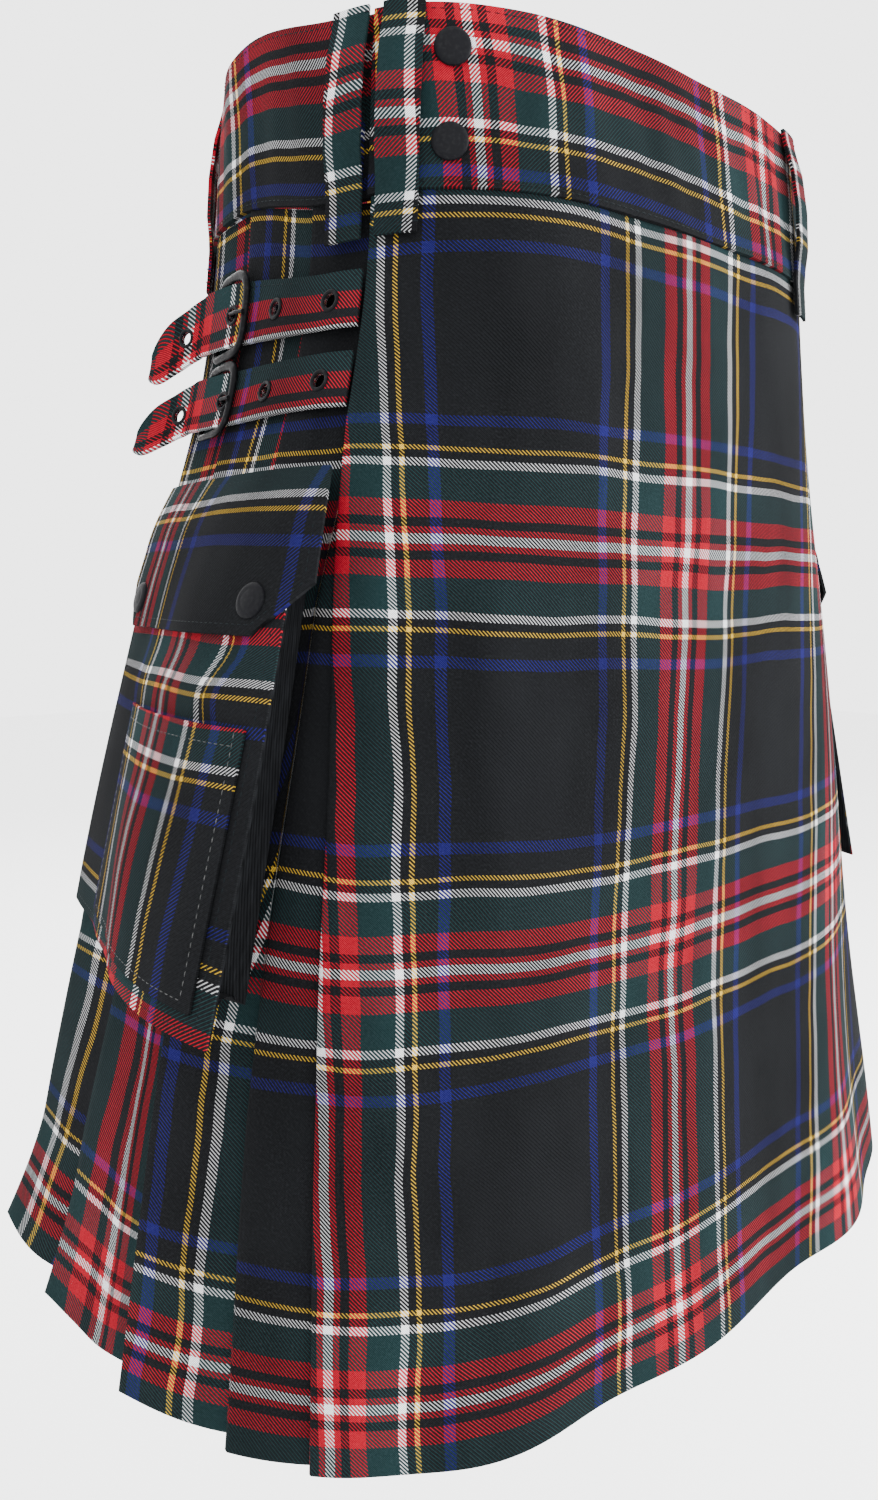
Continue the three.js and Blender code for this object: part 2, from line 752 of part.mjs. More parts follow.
for (const [which, middle] of [["upper", 116], ["lower", 151]]) {
  const { body, rings4, girth, hole } = strap(which, middle);
  group.add(body, ...rings4);
  // The frame is flat at the back bar and round at the front, where it crosses the strap
  const outAt = (x) => 2 + ((4.8 - 2) * (buckleHalf - x)) / (2 * buckleHalf);
  const high = strapWidth / 2 + 3.2;
  const corner = 9;
  const outline = [];
  outline.push([buckleHalf, -high + 2], [buckleHalf, high - 2], [buckleHalf - 2, high]);
  for (const angle of spread(90, 270, 8)) {
    const x = -buckleHalf + corner + corner * Math.cos((angle * Math.PI) / 180);
    const y = (angle <= 180 ? high - corner : -high + corner) + corner * Math.sin((angle * Math.PI) / 180);
    outline.push([x, y]);
  }
  outline.push([buckleHalf - 2, -high]);
  const points = outline.map(([x, y]) => {
    const u = buckleAt + x / girth;
    return new THREE.Vector3(...place(u, middle + y, outAt(x)));
  });
  group.add(bar(`buckle_${which}`, points, barRadius, 8, true, steel));
  // The prong starts at the back bar, comes up through the third hole and rests on the frame
  const onPlace = (x, out) => new THREE.Vector3(...place(buckleAt + x / girth, middle, out));
  const inHole = (x, out) => hole.middle.clone().addScaledVector(hole.back, x).addScaledVector(hole.outward, out);
  const prong = [
    onPlace(buckleHalf - barRadius - 1.3, 2.3),
    inHole(0.9, -2.4),
    inHole(-0.7, 1.9),
    onPlace(-buckleHalf + 4, 7.5),
    onPlace(-buckleHalf - 3, 7.5),
  ];
  group.add(bar(`prong_${which}`, prong, 0.8, 8, false, steel));
  // The tab that holds the buckle is folded round the back bar and sewn to the hip
  const tabFront = [];
  const tabBack = [];
  for (const u of spread(buckleAt + (buckleHalf + barRadius + 0.4) / girth, buckleAt + (buckleHalf + 26) / girth, 4)) {
    const rows = spread(middle - 9, middle + 9, 2);
    tabFront.push(rows.map((s) => place(u, s, 2.8)));
    tabBack.push(rows.map((s) => place(u, s, 0.9)));
  }
  group.add(wall(`tab_${which}`, tabFront, tabBack, navy));
}

export default group;
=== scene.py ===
import json
import math
import bpy
import numpy as np
from mathutils import Matrix, Vector
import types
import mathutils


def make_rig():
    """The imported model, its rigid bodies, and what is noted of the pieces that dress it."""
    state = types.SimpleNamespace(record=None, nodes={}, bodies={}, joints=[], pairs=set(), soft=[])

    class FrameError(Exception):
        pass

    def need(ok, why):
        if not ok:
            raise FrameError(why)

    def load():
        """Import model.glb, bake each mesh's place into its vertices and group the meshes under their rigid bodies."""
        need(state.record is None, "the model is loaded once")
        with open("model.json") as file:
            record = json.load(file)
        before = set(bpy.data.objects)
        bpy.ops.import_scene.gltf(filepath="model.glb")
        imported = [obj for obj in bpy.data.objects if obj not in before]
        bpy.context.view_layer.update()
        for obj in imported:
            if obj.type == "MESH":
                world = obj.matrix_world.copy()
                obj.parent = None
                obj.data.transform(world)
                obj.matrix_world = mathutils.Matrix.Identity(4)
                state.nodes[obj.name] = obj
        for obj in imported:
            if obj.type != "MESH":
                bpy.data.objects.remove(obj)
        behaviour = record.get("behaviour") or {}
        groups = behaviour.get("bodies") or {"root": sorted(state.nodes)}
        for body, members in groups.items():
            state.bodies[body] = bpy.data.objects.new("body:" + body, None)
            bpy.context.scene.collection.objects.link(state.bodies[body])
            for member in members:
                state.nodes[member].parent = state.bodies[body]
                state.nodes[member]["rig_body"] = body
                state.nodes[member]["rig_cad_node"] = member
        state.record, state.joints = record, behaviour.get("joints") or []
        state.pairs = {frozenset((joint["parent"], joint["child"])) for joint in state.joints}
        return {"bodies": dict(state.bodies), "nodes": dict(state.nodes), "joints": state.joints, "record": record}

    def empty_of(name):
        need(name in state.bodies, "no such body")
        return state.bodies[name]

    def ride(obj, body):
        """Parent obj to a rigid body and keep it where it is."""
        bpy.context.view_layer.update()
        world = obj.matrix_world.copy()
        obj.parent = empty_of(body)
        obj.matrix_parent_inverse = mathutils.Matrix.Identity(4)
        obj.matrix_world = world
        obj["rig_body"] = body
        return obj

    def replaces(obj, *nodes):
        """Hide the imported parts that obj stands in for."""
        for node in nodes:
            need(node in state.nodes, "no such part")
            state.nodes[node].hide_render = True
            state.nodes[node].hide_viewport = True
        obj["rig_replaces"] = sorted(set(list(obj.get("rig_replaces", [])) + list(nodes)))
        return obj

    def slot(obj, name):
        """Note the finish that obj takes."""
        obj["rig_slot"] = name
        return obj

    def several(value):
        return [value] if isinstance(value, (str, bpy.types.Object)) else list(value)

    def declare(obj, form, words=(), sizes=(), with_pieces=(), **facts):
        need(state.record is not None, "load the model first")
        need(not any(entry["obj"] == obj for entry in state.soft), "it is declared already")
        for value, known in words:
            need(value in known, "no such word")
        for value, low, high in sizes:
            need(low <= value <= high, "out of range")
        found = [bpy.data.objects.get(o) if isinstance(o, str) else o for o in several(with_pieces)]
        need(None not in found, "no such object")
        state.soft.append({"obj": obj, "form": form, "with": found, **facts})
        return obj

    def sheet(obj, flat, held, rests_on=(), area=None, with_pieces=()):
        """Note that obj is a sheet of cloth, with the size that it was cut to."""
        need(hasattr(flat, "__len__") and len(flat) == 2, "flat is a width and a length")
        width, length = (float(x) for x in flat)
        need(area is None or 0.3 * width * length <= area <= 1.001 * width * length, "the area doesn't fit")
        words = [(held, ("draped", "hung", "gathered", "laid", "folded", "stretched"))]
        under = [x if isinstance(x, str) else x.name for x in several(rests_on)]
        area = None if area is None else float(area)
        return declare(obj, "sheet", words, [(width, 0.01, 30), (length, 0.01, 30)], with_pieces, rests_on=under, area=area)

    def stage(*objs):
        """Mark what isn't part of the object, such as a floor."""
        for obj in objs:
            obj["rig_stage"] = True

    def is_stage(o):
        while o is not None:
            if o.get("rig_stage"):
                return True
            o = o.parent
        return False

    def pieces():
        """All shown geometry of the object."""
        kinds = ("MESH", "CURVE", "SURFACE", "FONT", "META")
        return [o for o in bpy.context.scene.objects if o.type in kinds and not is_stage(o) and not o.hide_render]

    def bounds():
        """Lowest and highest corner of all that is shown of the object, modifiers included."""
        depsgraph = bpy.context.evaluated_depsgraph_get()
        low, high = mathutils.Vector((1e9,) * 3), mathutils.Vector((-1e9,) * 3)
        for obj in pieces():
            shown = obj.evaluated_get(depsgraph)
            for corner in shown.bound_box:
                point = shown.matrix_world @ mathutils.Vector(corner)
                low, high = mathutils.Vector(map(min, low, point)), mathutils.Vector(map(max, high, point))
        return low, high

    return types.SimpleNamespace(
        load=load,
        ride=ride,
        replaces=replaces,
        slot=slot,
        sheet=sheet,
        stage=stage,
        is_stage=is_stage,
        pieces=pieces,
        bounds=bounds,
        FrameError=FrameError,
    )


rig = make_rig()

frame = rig.load()
cadLow, cadHigh = [list(corner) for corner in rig.bounds()]

# The worn form, in millimetres. u is the share of the way round from the front centre towards the
# wearer's right, s the distance down the cloth from the top edge.
form = {
    "sectionAt": [0, 90, 250, 430, 610],
    "halfWidthRight": [155, 159, 197, 230, 257],
    "halfWidthLeft": [161, 163, 193, 230, 261],
    "depthFront": [117, 129, 142, 154, 176],
    "depthBack": [112, 138, 172, 220, 268],
    "roundnessFront": 3,
    "roundnessBack": 2.6,
    "bandHeight": 74,
    "hem": 610,
    "backLift": 14,
    "liftBetween": (0.185, 0.82),
    "liftEase": 0.085,
    "liftEnd": 160,
}


def along(s, values):  # smooth line through the five sections, with no overshoot
    at, v = np.array(form["sectionAt"], float), np.array(values, float)
    slope = np.diff(v) / np.diff(at)
    inner = np.where(slope[1:] * slope[:-1] > 0, 2 * slope[1:] * slope[:-1] / (slope[1:] + slope[:-1]), 0)
    tangent = np.concatenate([slope[:1], inner, slope[-1:]])
    s = np.maximum(np.asarray(s, float), 0)
    k = np.clip(np.searchsorted(at, s) - 1, 0, len(at) - 2)
    h = at[k + 1] - at[k]
    t = (s - at[k]) / h
    return (v[k] * (2 * t**3 - 3 * t**2 + 1) + tangent[k] * h * (t**3 - 2 * t**2 + t)
            + v[k + 1] * (3 * t**2 - 2 * t**3) + tangent[k + 1] * h * (t**3 - t**2))


downStep = 5.0
downs = np.arange(0, 631, downStep)
rounds = np.linspace(0, 1, 1441)
near = 8  # columns to each side that the outward direction is taken over


def formTables():
    angle = -math.pi / 2 - np.linspace(0, 2 * math.pi, 1081)
    c, d = np.cos(angle)[None], np.sin(angle)[None]
    power = 2 / np.where(d < 0, form["roundnessFront"], form["roundnessBack"])
    right, left, front, back = [along(downs, form[part])[:, None]
                                for part in ("halfWidthRight", "halfWidthLeft", "depthFront", "depthBack")]
    x = np.sign(c) * np.abs(c) ** power * np.where(c < 0, right, left)
    y = np.sign(d) * np.abs(d) ** power * np.where(d < 0, front, back)
    steps = np.hypot(np.diff(x, axis=1), np.diff(y, axis=1))
    run = np.concatenate([np.zeros((len(downs), 1)), np.cumsum(steps, axis=1)], axis=1)
    girth = run[:, -1]
    px = np.array([np.interp(rounds * g, r, row) for g, r, row in zip(girth, run, x)])
    py = np.array([np.interp(rounds * g, r, row) for g, r, row in zip(girth, run, y)])
    drop = np.hypot(np.diff(px, axis=0), np.diff(py, axis=0))
    pz = np.full_like(px, form["bandHeight"] / 2)
    pz[1:] -= np.cumsum(np.sqrt(np.maximum(downStep**2 - drop**2, 0.1)), axis=0)
    dx, dy = [np.concatenate([g[:, near:], g[:, 1:near + 1]], axis=1)
              - np.concatenate([g[:, -near - 1:-1], g[:, :-near]], axis=1) for g in (px, py)]
    size = np.hypot(dx, dy)
    return girth, px, py, pz, -dy / size, dx / size


girths, formX, formY, formZ, normalX, normalY = formTables()


def girthAt(s):
    return np.interp(s, downs, girths)


def look(table, u, s):  # a value of a form table between its rows and columns
    i = np.clip(s / downStep, 0, len(downs) - 1.001)
    j = (u - np.floor(u)) * (len(rounds) - 1)
    i0, j0 = i.astype(int), np.minimum(j.astype(int), len(rounds) - 2)
    a, b = i - i0, j - j0
    return ((1 - a) * ((1 - b) * table[i0, j0] + b * table[i0, j0 + 1])
            + a * ((1 - b) * table[i0 + 1, j0] + b * table[i0 + 1, j0 + 1]))


def share(x, a, b):
    return np.clip((x - a) / (b - a), 0, 1)


def eased(t):
    t = np.clip(t, 0, 1)
    return t * t * (3 - 2 * t)


def waistLift(u, s):  # the band sits higher round the back than at the front
    way = u - np.floor(u)
    first, last = form["liftBetween"]
    behind = np.minimum(eased((way - first) / form["liftEase"]), eased((last - way) / form["liftEase"]))
    return form["backLift"] * behind * (1 - eased(share(s, form["bandHeight"], form["liftEnd"])))


def onForm(u, s, out):  # points in metres, moved outward from the form by millimetres
    u, s, out = [a.astype(float) for a in np.broadcast_arrays(u, s, out)]
    x = look(formX, u, s) + look(normalX, u, s) * out
    y = look(formY, u, s) + look(normalY, u, s) * out
    z = look(formZ, u, s) - np.minimum(s, 0) + waistLift(u, s)
    return np.stack([x, y, z], axis=-1) / 1000


def stations(value, table):
    xs, ys = zip(*table)
    return np.interp(value, xs, ys)


def bump(x, middle, width):
    return np.exp(-((x - middle) / width) ** 2)


# Soft folds: the way round, half width, push in mm at the hip and at the hem
softFolds = [
    (-0.150, 0.016, 0.5, 2.5), (-0.118, 0.018, -0.5, -3.0), (-0.078, 0.022, 0.0, 2.0),
    (-0.040, 0.020, -0.6, -2.5), (0.004, 0.024, 0.5, 2.0), (0.048, 0.020, -0.8, -2.0),
    (0.086, 0.024, 0.6, 2.5), (0.124, 0.016, -0.6, -2.5), (0.225, 0.012, 0.0, 2.5),
    (0.272, 0.012, 0.0, -3.0), (0.322, 0.016, 0.4, 4.0), (0.372, 0.014, -0.3, -3.5),
    (0.425, 0.018, 0.4, 4.5), (0.476, 0.020, -0.4, -4.0), (0.530, 0.018, 0.3, 4.0),
    (0.583, 0.016, -0.3, -4.5), (0.634, 0.017, 0.5, 4.0), (0.688, 0.015, 0.0, -3.0),
    (0.742, 0.014, 0.3, 3.5), (0.792, 0.012, 0.0, -2.5),
]
# The pleated side flicks out below the last stripe: the way round, half width, push in mm
hemFlicks = [(0.300, 0.045, 11), (0.235, 0.020, 4), (0.640, 0.080, 7)]


def drape(u, s):  # how far the folds push the cloth out, the same for every layer
    u, s = (np.asarray(u, float) + 0.2) % 1 - 0.2, np.asarray(s, float)
    low = share(s, 120, form["hem"]) ** 1.4
    push = np.zeros(np.broadcast(u, low).shape)
    for middle, width, hip, hem in softFolds:
        lean = middle + 0.012 * np.sin(middle * 40) * (low - 0.5)
        push += (hip + (hem - hip) * low) * bump(u, lean, width)
    flick = sum(most * bump(u, middle, width) for middle, width, most in hemFlicks)
    push += share(s, 545, form["hem"]) ** 1.5 * flick
    slack = 1.4 * np.sin(u * 70 + s / 90) * low + 0.8 * np.sin(u * 31 - s / 47)
    return push + slack * share(s, 80, 140)


def clearSelection():
    if bpy.context.mode != "OBJECT":
        bpy.ops.object.mode_set(mode="OBJECT")
    bpy.ops.object.select_all(action="DESELECT")


def smooth(piece, angle=48):
    clearSelection()
    piece.select_set(True)
    bpy.context.view_layer.objects.active = piece
    bpy.ops.object.shade_smooth_by_angle(angle=math.radians(angle))


def editAll():
    bpy.ops.object.mode_set(mode="EDIT")
    bpy.ops.mesh.select_all(action="SELECT")


def closeEdit():  # with every face turned outward
    bpy.ops.mesh.select_all(action="SELECT")
    bpy.ops.mesh.normals_make_consistent(inside=False)
    bpy.ops.object.mode_set(mode="OBJECT")


def applyModifier(piece, kind, **values):
    clearSelection()
    piece.select_set(True)
    bpy.context.view_layer.objects.active = piece
    modifier = piece.modifiers.new(kind.title(), kind)
    for key, value in values.items():
        setattr(modifier, key, value)
    bpy.ops.object.modifier_apply(modifier=modifier.name)


def clothGrid(name, points, cloth, thickness):
    # a grid primitive laid over rows of points, with the cloth's own coordinates as its UV map
    rows, columns = points.shape[:2]
    clearSelection()
    bpy.ops.mesh.primitive_grid_add(x_subdivisions=columns - 1, y_subdivisions=rows - 1, size=1)
    piece = bpy.context.object
    piece.name = name
    mesh = piece.data
    flat = np.empty(len(mesh.vertices) * 3)
    mesh.vertices.foreach_get("co", flat)
    flat = flat.reshape(-1, 3)
    column = np.rint((flat[:, 0] + 0.5) * (columns - 1)).astype(int)
    row = np.rint((0.5 - flat[:, 1]) * (rows - 1)).astype(int)
    mesh.vertices.foreach_set("co", points[row, column].ravel())
    corner = np.empty(len(mesh.loops), dtype=np.int32)
    mesh.loops.foreach_get("vertex_index", corner)
    uv = (cloth[row, column] / 1000)[corner]
    mesh.uv_layers.active.data.foreach_set("uv", uv.ravel())
    mesh.update()
    applyModifier(piece, "SOLIDIFY", thickness=thickness / 1000, offset=0)
    smooth(piece)
    return piece


def finishPiece(piece, nodes, slotName, material):
    piece.data.materials.clear()
    piece.data.materials.append(material)
    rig.ride(piece, "root")
    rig.slot(piece, slotName)
    if nodes:
        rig.replaces(piece, *nodes)
    return piece


# Tartan cloth: one half of the sett from its white centre, threads in mm
tartan = {
    "halfSett": [("white", 1.9), ("red", 2.8), ("black", 4.1), ("red", 7.15), ("green", 14.5), ("white", 3.7),
                 ("black", 3.4), ("yellow", 2.2), ("black", 9.6), ("blue", 4.9), ("black", 36.0)],
    "colours": {
        "black": (0.0051, 0.0054, 0.0061),
        "green": (0.0062, 0.0175, 0.0185),
        "blue": (0.0070, 0.0060, 0.0600),
        "red": (0.1900, 0.0030, 0.0095),
        "white": (0.3000, 0.3000, 0.3060),
        "yellow": (0.2700, 0.1650, 0.0150),
    },
    # a bright thread packs tighter, so less of it shows beside a dark one
    "narrowing": {"black": 0, "green": 0.1, "blue": 0.35, "red": 0.55, "white": 1, "yellow": 0.8},
    "narrowed": 0.075,
    "twillRepeat": 1.75,
}


def link(tree, a, b):
    tree.links.new(a, b)


def mathNode(tree, operation, a, b=None):
    node = tree.nodes.new("ShaderNodeMath")
    node.operation = operation
    for socket, value in zip(node.inputs, (a, b)):
        if value is None:
            continue
        if isinstance(value, (int, float)):
            socket.default_value = value
        else:
            link(tree, value, socket)
    return node.outputs[0]


def mixNode(tree, factor, a, b, blend="MIX"):
    node = tree.nodes.new("ShaderNodeMix")
    node.data_type = "RGBA"
    node.blend_type = blend
    for socket, value in zip((node.inputs[0], node.inputs[6], node.inputs[7]), (factor, a, b)):
        if isinstance(value, (int, float)):
            socket.default_value = value
        elif isinstance(value, tuple):
            socket.default_value = (*value, 1)
        else:
            link(tree, value, socket)
    return node.outputs[2]


def settRamp(tree, position):
    half = sum(width for _, width in tartan["halfSett"])
    place = mathNode(tree, "PINGPONG", mathNode(tree, "MULTIPLY", position, 1000.0), half)
    ramp = tree.nodes.new("ShaderNodeValToRGB")
    ramp.color_ramp.interpolation = "CONSTANT"
    at = 0
    for i, (colour, width) in enumerate(tartan["halfSett"]):
        stop = ramp.color_ramp.elements[0] if i == 0 else ramp.color_ramp.elements.new(at / half)
        if i == 0:
            stop.position = 0
        stop.color = (*tartan["colours"][colour], tartan["narrowing"][colour])
        at += width
    last = ramp.color_ramp.elements[-1]
    last.color = (*tartan["colours"]["black"], 0)
    link(tree, mathNode(tree, "DIVIDE", place, half), ramp.inputs[0])
    return ramp.outputs[0], ramp.outputs[1]


def noiseNode(tree, vector, scale, detail):
    node = tree.nodes.new("ShaderNodeTexNoise")
    node.inputs["Detail"].default_value = detail
    link(tree, vector, node.inputs["Vector"])
    if isinstance(scale, (int, float)):
        node.inputs["Scale"].default_value = scale
    else:
        link(tree, scale, node.inputs["Scale"])
    return node.outputs


def newGroup(name, inputs, outputs):  # sockets as pairs of name and kind
    tree = bpy.data.node_groups.new(name, "ShaderNodeTree")
    for way, sockets in (("INPUT", inputs), ("OUTPUT", outputs)):
        for socketName, kind in sockets:
            tree.interface.new_socket(socketName, in_out=way, socket_type=f"NodeSocket{kind}")
    return tree, tree.nodes.new("NodeGroupInput").outputs, tree.nodes.new("NodeGroupOutput").inputs


def tartanGroup():
    tree, inside, outside = newGroup(
        "wovenTartan",
        [("Cloth", "Vector"), ("Twill Repeat", "Float"), ("Lint", "Float"), ("Wear", "Float")],
        [("Color", "Color"), ("Height", "Float"), ("Roughness", "Float")],
    )

    def calc(operation, a, b=None):
        return mathNode(tree, operation, a, b)

    # a little wander, so that the lines aren't ruled, less its own mean
    wander = noiseNode(tree, inside["Cloth"], 11, 2)
    sway = tree.nodes.new("ShaderNodeVectorMath")
    sway.operation = "MULTIPLY_ADD"
    link(tree, wander["Color"], sway.inputs[0])
    sway.inputs[1].default_value = (0.010, 0.008, 0)
    link(tree, inside["Cloth"], sway.inputs[2])
    centred = tree.nodes.new("ShaderNodeVectorMath")
    link(tree, sway.outputs[0], centred.inputs[0])
    centred.inputs[1].default_value = (-0.0042, -0.0032, 0)
    split = tree.nodes.new("ShaderNodeSeparateXYZ")
    link(tree, centred.outputs[0], split.inputs[0])
    warp, warpOn = settRamp(tree, split.outputs[0])
    weft, weftOn = settRamp(tree, split.outputs[1])
    # 2/2 twill: the diagonal where the warp lies on top
    plus = calc("ADD", split.outputs[0], split.outputs[1])
    repeat = calc("DIVIDE", inside["Twill Repeat"], 1000.0)
    diagonal = calc("FRACT", calc("DIVIDE", plus, repeat))
    over = tree.nodes.new("ShaderNodeMapRange")
    over.interpolation_type = "SMOOTHSTEP"
    narrowed = calc("MULTIPLY", calc("SUBTRACT", warpOn, weftOn), tartan["narrowed"])
    link(tree, calc("ADD", calc("PINGPONG", diagonal, 0.5), narrowed), over.inputs["Value"])
    over.inputs["From Min"].default_value = 0.19
    over.inputs["From Max"].default_value = 0.31
    woven = mixNode(tree, over.outputs[0], warp, weft)
    # each float is round, with painted shade darkening it where it dips under the next one
    dipShade = calc("POWER", calc("MULTIPLY", calc("PINGPONG", diagonal, 0.25), 4.0), 1.3)
    # lint and uneven dye
    fine = noiseNode(tree, inside["Cloth"], 900, 3)[0]
    broad = noiseNode(tree, inside["Cloth"], 26, 4)[0]
    shade = calc("ADD", calc("MULTIPLY", fine, 0.75), calc("MULTIPLY", broad, 0.55))
    # painted light and shade in long soft streaks down the cloth, standing in for the shading of soft folds
    stretch = tree.nodes.new("ShaderNodeMapping")
    stretch.inputs["Scale"].default_value = (24, 6, 1)
    link(tree, inside["Cloth"], stretch.inputs["Vector"])
    foldShadingNoise = noiseNode(tree, stretch.outputs[0], 1, 3)[0]
    paintedFoldShading = calc("ADD", calc("MULTIPLY", foldShadingNoise, 1.5), -0.75)
    # the level: lint and dye noise plus the painted fold streaks, times the painted shade of the dips
    level = calc("MULTIPLY", calc("ADD", calc("ADD", shade, 0.35), paintedFoldShading),
                 calc("SUBTRACT", 1.0, calc("MULTIPLY", dipShade, 0.85)))
    # where two bright threads cross, nothing dark shows between them
    both = calc("ADD", calc("MULTIPLY", calc("MULTIPLY", warpOn, weftOn), 1.3), 1.0)
    level = calc("MULTIPLY", level, both)
    tone = tree.nodes.new("ShaderNodeCombineColor")
    for socket in tone.inputs[:3]:
        link(tree, level, socket)
    # the weave's colour times the level, which holds uneven dye and painted shade
    dyedWithPaintedShade = mixNode(tree, 1.0, woven, tone.outputs[0], "MULTIPLY")
    fuzz = calc("MULTIPLY", calc("POWER", fine, 4.0), inside["Lint"])
    linty = mixNode(tree, fuzz, dyedWithPaintedShade, (0.07, 0.075, 0.085))
    worn = mixNode(tree, calc("MULTIPLY", broad, inside["Wear"]), linty, (0.03, 0.033, 0.036))
    link(tree, worn, outside["Color"])
    link(tree, calc("ADD", over.outputs[0], calc("MULTIPLY", fine, 0.7)), outside["Height"])
    link(tree, calc("ADD", calc("MULTIPLY", fine, 0.2), 0.74), outside["Roughness"])
    return tree


def wearGroup():
    tree, inside, outside = newGroup(
        "rubbedFinish",
        [("Scale", "Float"), ("Base", "Color"), ("Rubbed", "Color")],
        [("Color", "Color"), ("Roughness", "Float"), ("Height", "Float")],
    )
    where = tree.nodes.new("ShaderNodeTexCoord")
    spots = noiseNode(tree, where.outputs["Object"], inside["Scale"], 6)[0]
    amount = tree.nodes.new("ShaderNodeMapRange")
    link(tree, spots, amount.inputs["Value"])
    amount.inputs["From Min"].default_value = 0.5
    amount.inputs["From Max"].default_value = 0.78
    link(tree, mixNode(tree, amount.outputs[0], inside["Base"], inside["Rubbed"]), outside["Color"])
    polish = mathNode(tree, "MULTIPLY", amount.outputs[0], -0.12)
    link(tree, mathNode(tree, "ADD", polish, 0.5), outside["Roughness"])
    link(tree, spots, outside["Height"])
    return tree


def shaderOf(material):
    return next(node for node in material.node_tree.nodes if node.type == "BSDF_PRINCIPLED")


def groupMaterial(name, group, values, strength, distance):
    # the group gives the colour, the roughness and the height of the relief
    material = bpy.data.materials.new(name)
    material.use_nodes = True
    tree = material.node_tree
    shader = shaderOf(material)
    surface = tree.nodes.new("ShaderNodeGroup")
    surface.node_tree = group
    for socketName, value in values.items():
        surface.inputs[socketName].default_value = value
    relief = tree.nodes.new("ShaderNodeBump")
    relief.inputs["Strength"].default_value = strength
    relief.inputs["Distance"].default_value = distance
    link(tree, surface.outputs["Height"], relief.inputs["Height"])
    link(tree, surface.outputs["Color"], shader.inputs["Base Color"])
    link(tree, surface.outputs["Roughness"], shader.inputs["Roughness"])
    link(tree, relief.outputs[0], shader.inputs["Normal"])
    return material, shader, surface


def tartanMaterial(name, group, lint, wear):
    values = {"Twill Repeat": tartan["twillRepeat"], "Lint": lint, "Wear": wear}
    material, shader, woven = groupMaterial(name, group, values, 0.35, 0.0004)
    cloth = material.node_tree.nodes.new("ShaderNodeUVMap")
    cloth.uv_map = "UVMap"
    link(material.node_tree, cloth.outputs[0], woven.inputs["Cloth"])
    shader.inputs["Sheen Weight"].default_value = 0.004
    shader.inputs["Sheen Roughness"].default_value = 0.7
    shader.inputs["Specular IOR Level"].default_value = 0.01
    return material


def metalMaterial(name, group, scale, base, rubbed, metallic):
    values = {"Scale": scale, "Base": (*base, 1), "Rubbed": (*rubbed, 1)}
    material, shader, _ = groupMaterial(name, group, values, 0.15, 0.0002)
    shader.inputs["Metallic"].default_value = metallic
    shader.inputs["Specular IOR Level"].default_value = 0.03
    return material


wovenTartan = tartanGroup()
rubbedFinish = wearGroup()
skirtCloth = tartanMaterial("tartanSkirt", wovenTartan, 0.16, 0.02)
bandCloth = tartanMaterial("tartanBand", wovenTartan, 0.14, 0.02)
pocketCloth = tartanMaterial("tartanPocket", wovenTartan, 0.16, 0.03)
strapCloth = tartanMaterial("tartanStrap", wovenTartan, 0.12, 0.03)
tabCloth = tartanMaterial("tartanTab", wovenTartan, 0.18, 0.05)
buckleMetal = metalMaterial("blackenedBuckle", rubbedFinish, 420,
                            (0.0040, 0.0040, 0.0046), (0.010, 0.010, 0.011), 0.3)
snapMetal = metalMaterial("mattSnap", rubbedFinish, 700,
                          (0.0040, 0.0041, 0.0050), (0.0075, 0.0078, 0.0085), 0.0)
paleThread = metalMaterial("paleThread", rubbedFinish, 900, (0.035, 0.036, 0.036), (0.10, 0.10, 0.098), 0)
darkThread = metalMaterial("darkThread", rubbedFinish, 900, (0.004, 0.006, 0.007), (0.010, 0.012, 0.013), 0)
print("materials ready")

# Skirt: levels, folds and depths as in the solids
skirt = {
    "thickness": 0.9,
    "rowStep": 5.0,
    "columnStep": 4.5,
    "apronLeft": 0.1725,
    "faceOut": -0.7,
    "apronEdge": [(0, 0.1736), (170, 0.1733), (220, 0.1695), (340, 0.1583), (450, 0.1512), (610, 0.1442)],
    "firstFold": [(0, 0.17), (180, 0.1705), (250, 0.1756), (350, 0.1752), (470, 0.1736), (610, 0.1694)],
    "settStart": 41,
    # the pleats' own places in mm were read at these widths, for this share of the way round
    "readWidths": {"hip": 55.0, "low": 80.0},
    "readShare": 0.05,
}
# Each pleat: fold edge, sway of the edge in mm down the cloth, lift at the hem, and the cloth's
# own place, first at the hip and then at the hem, at the start, part way and at the fold
pleats = [
    {"edge": 0.2085, "sway": [(74, 0), (300, 0), (430, 5), (520, 2), (610, 2)], "lift": 4.0,
     "hip": [(0, 72), (1, 122)], "low": [(0, 15), (1, 56)]},
    {"edge": 0.262, "sway": [(74, 0), (250, -3), (430, -15), (520, 0), (610, 3)], "lift": 6.0,
     "hip": [(0, 4), (0.41, 32.3), (0.75, 52), (1, 67)], "low": [(0, -50), (0.42, 0), (1, 24)]},
    {"edge": 0.31, "sway": [(74, 0), (250, -3), (430, -12), (520, 0), (610, 4)], "lift": 7.0,
     "hip": [(0, -8), (1, 42)], "low": [(0, -60), (0.74, -32), (1, -18)]},
    {"edge": 0.355, "sway": [(74, 0), (300, 3), (610, -3)], "lift": 5.0,
     "hip": [(0, 40), (1, 85)], "low": [(0, -10), (1, 56)]},
    {"edge": 0.4, "sway": [(74, 0), (350, -3), (610, 4)], "lift": 6.0,
     "hip": [(0, -70), (1, -28)], "low": [(0, 50), (1, 118)]},
    {"edge": 0.443, "sway": [(74, 0), (350, 3), (610, -2)], "lift": 4.5,
     "hip": [(0, -10), (1, 30)], "low": [(0, -75), (1, -8)]},
]


def down(s):
    return share(s, 150, form["hem"])


def layerPitch(s):
    return 1.9 + 3.1 * down(s) ** 1.5


def apronEdge(s):
    return stations(s, skirt["apronEdge"])


def firstFold(s):
    return stations(s, skirt["firstFold"])


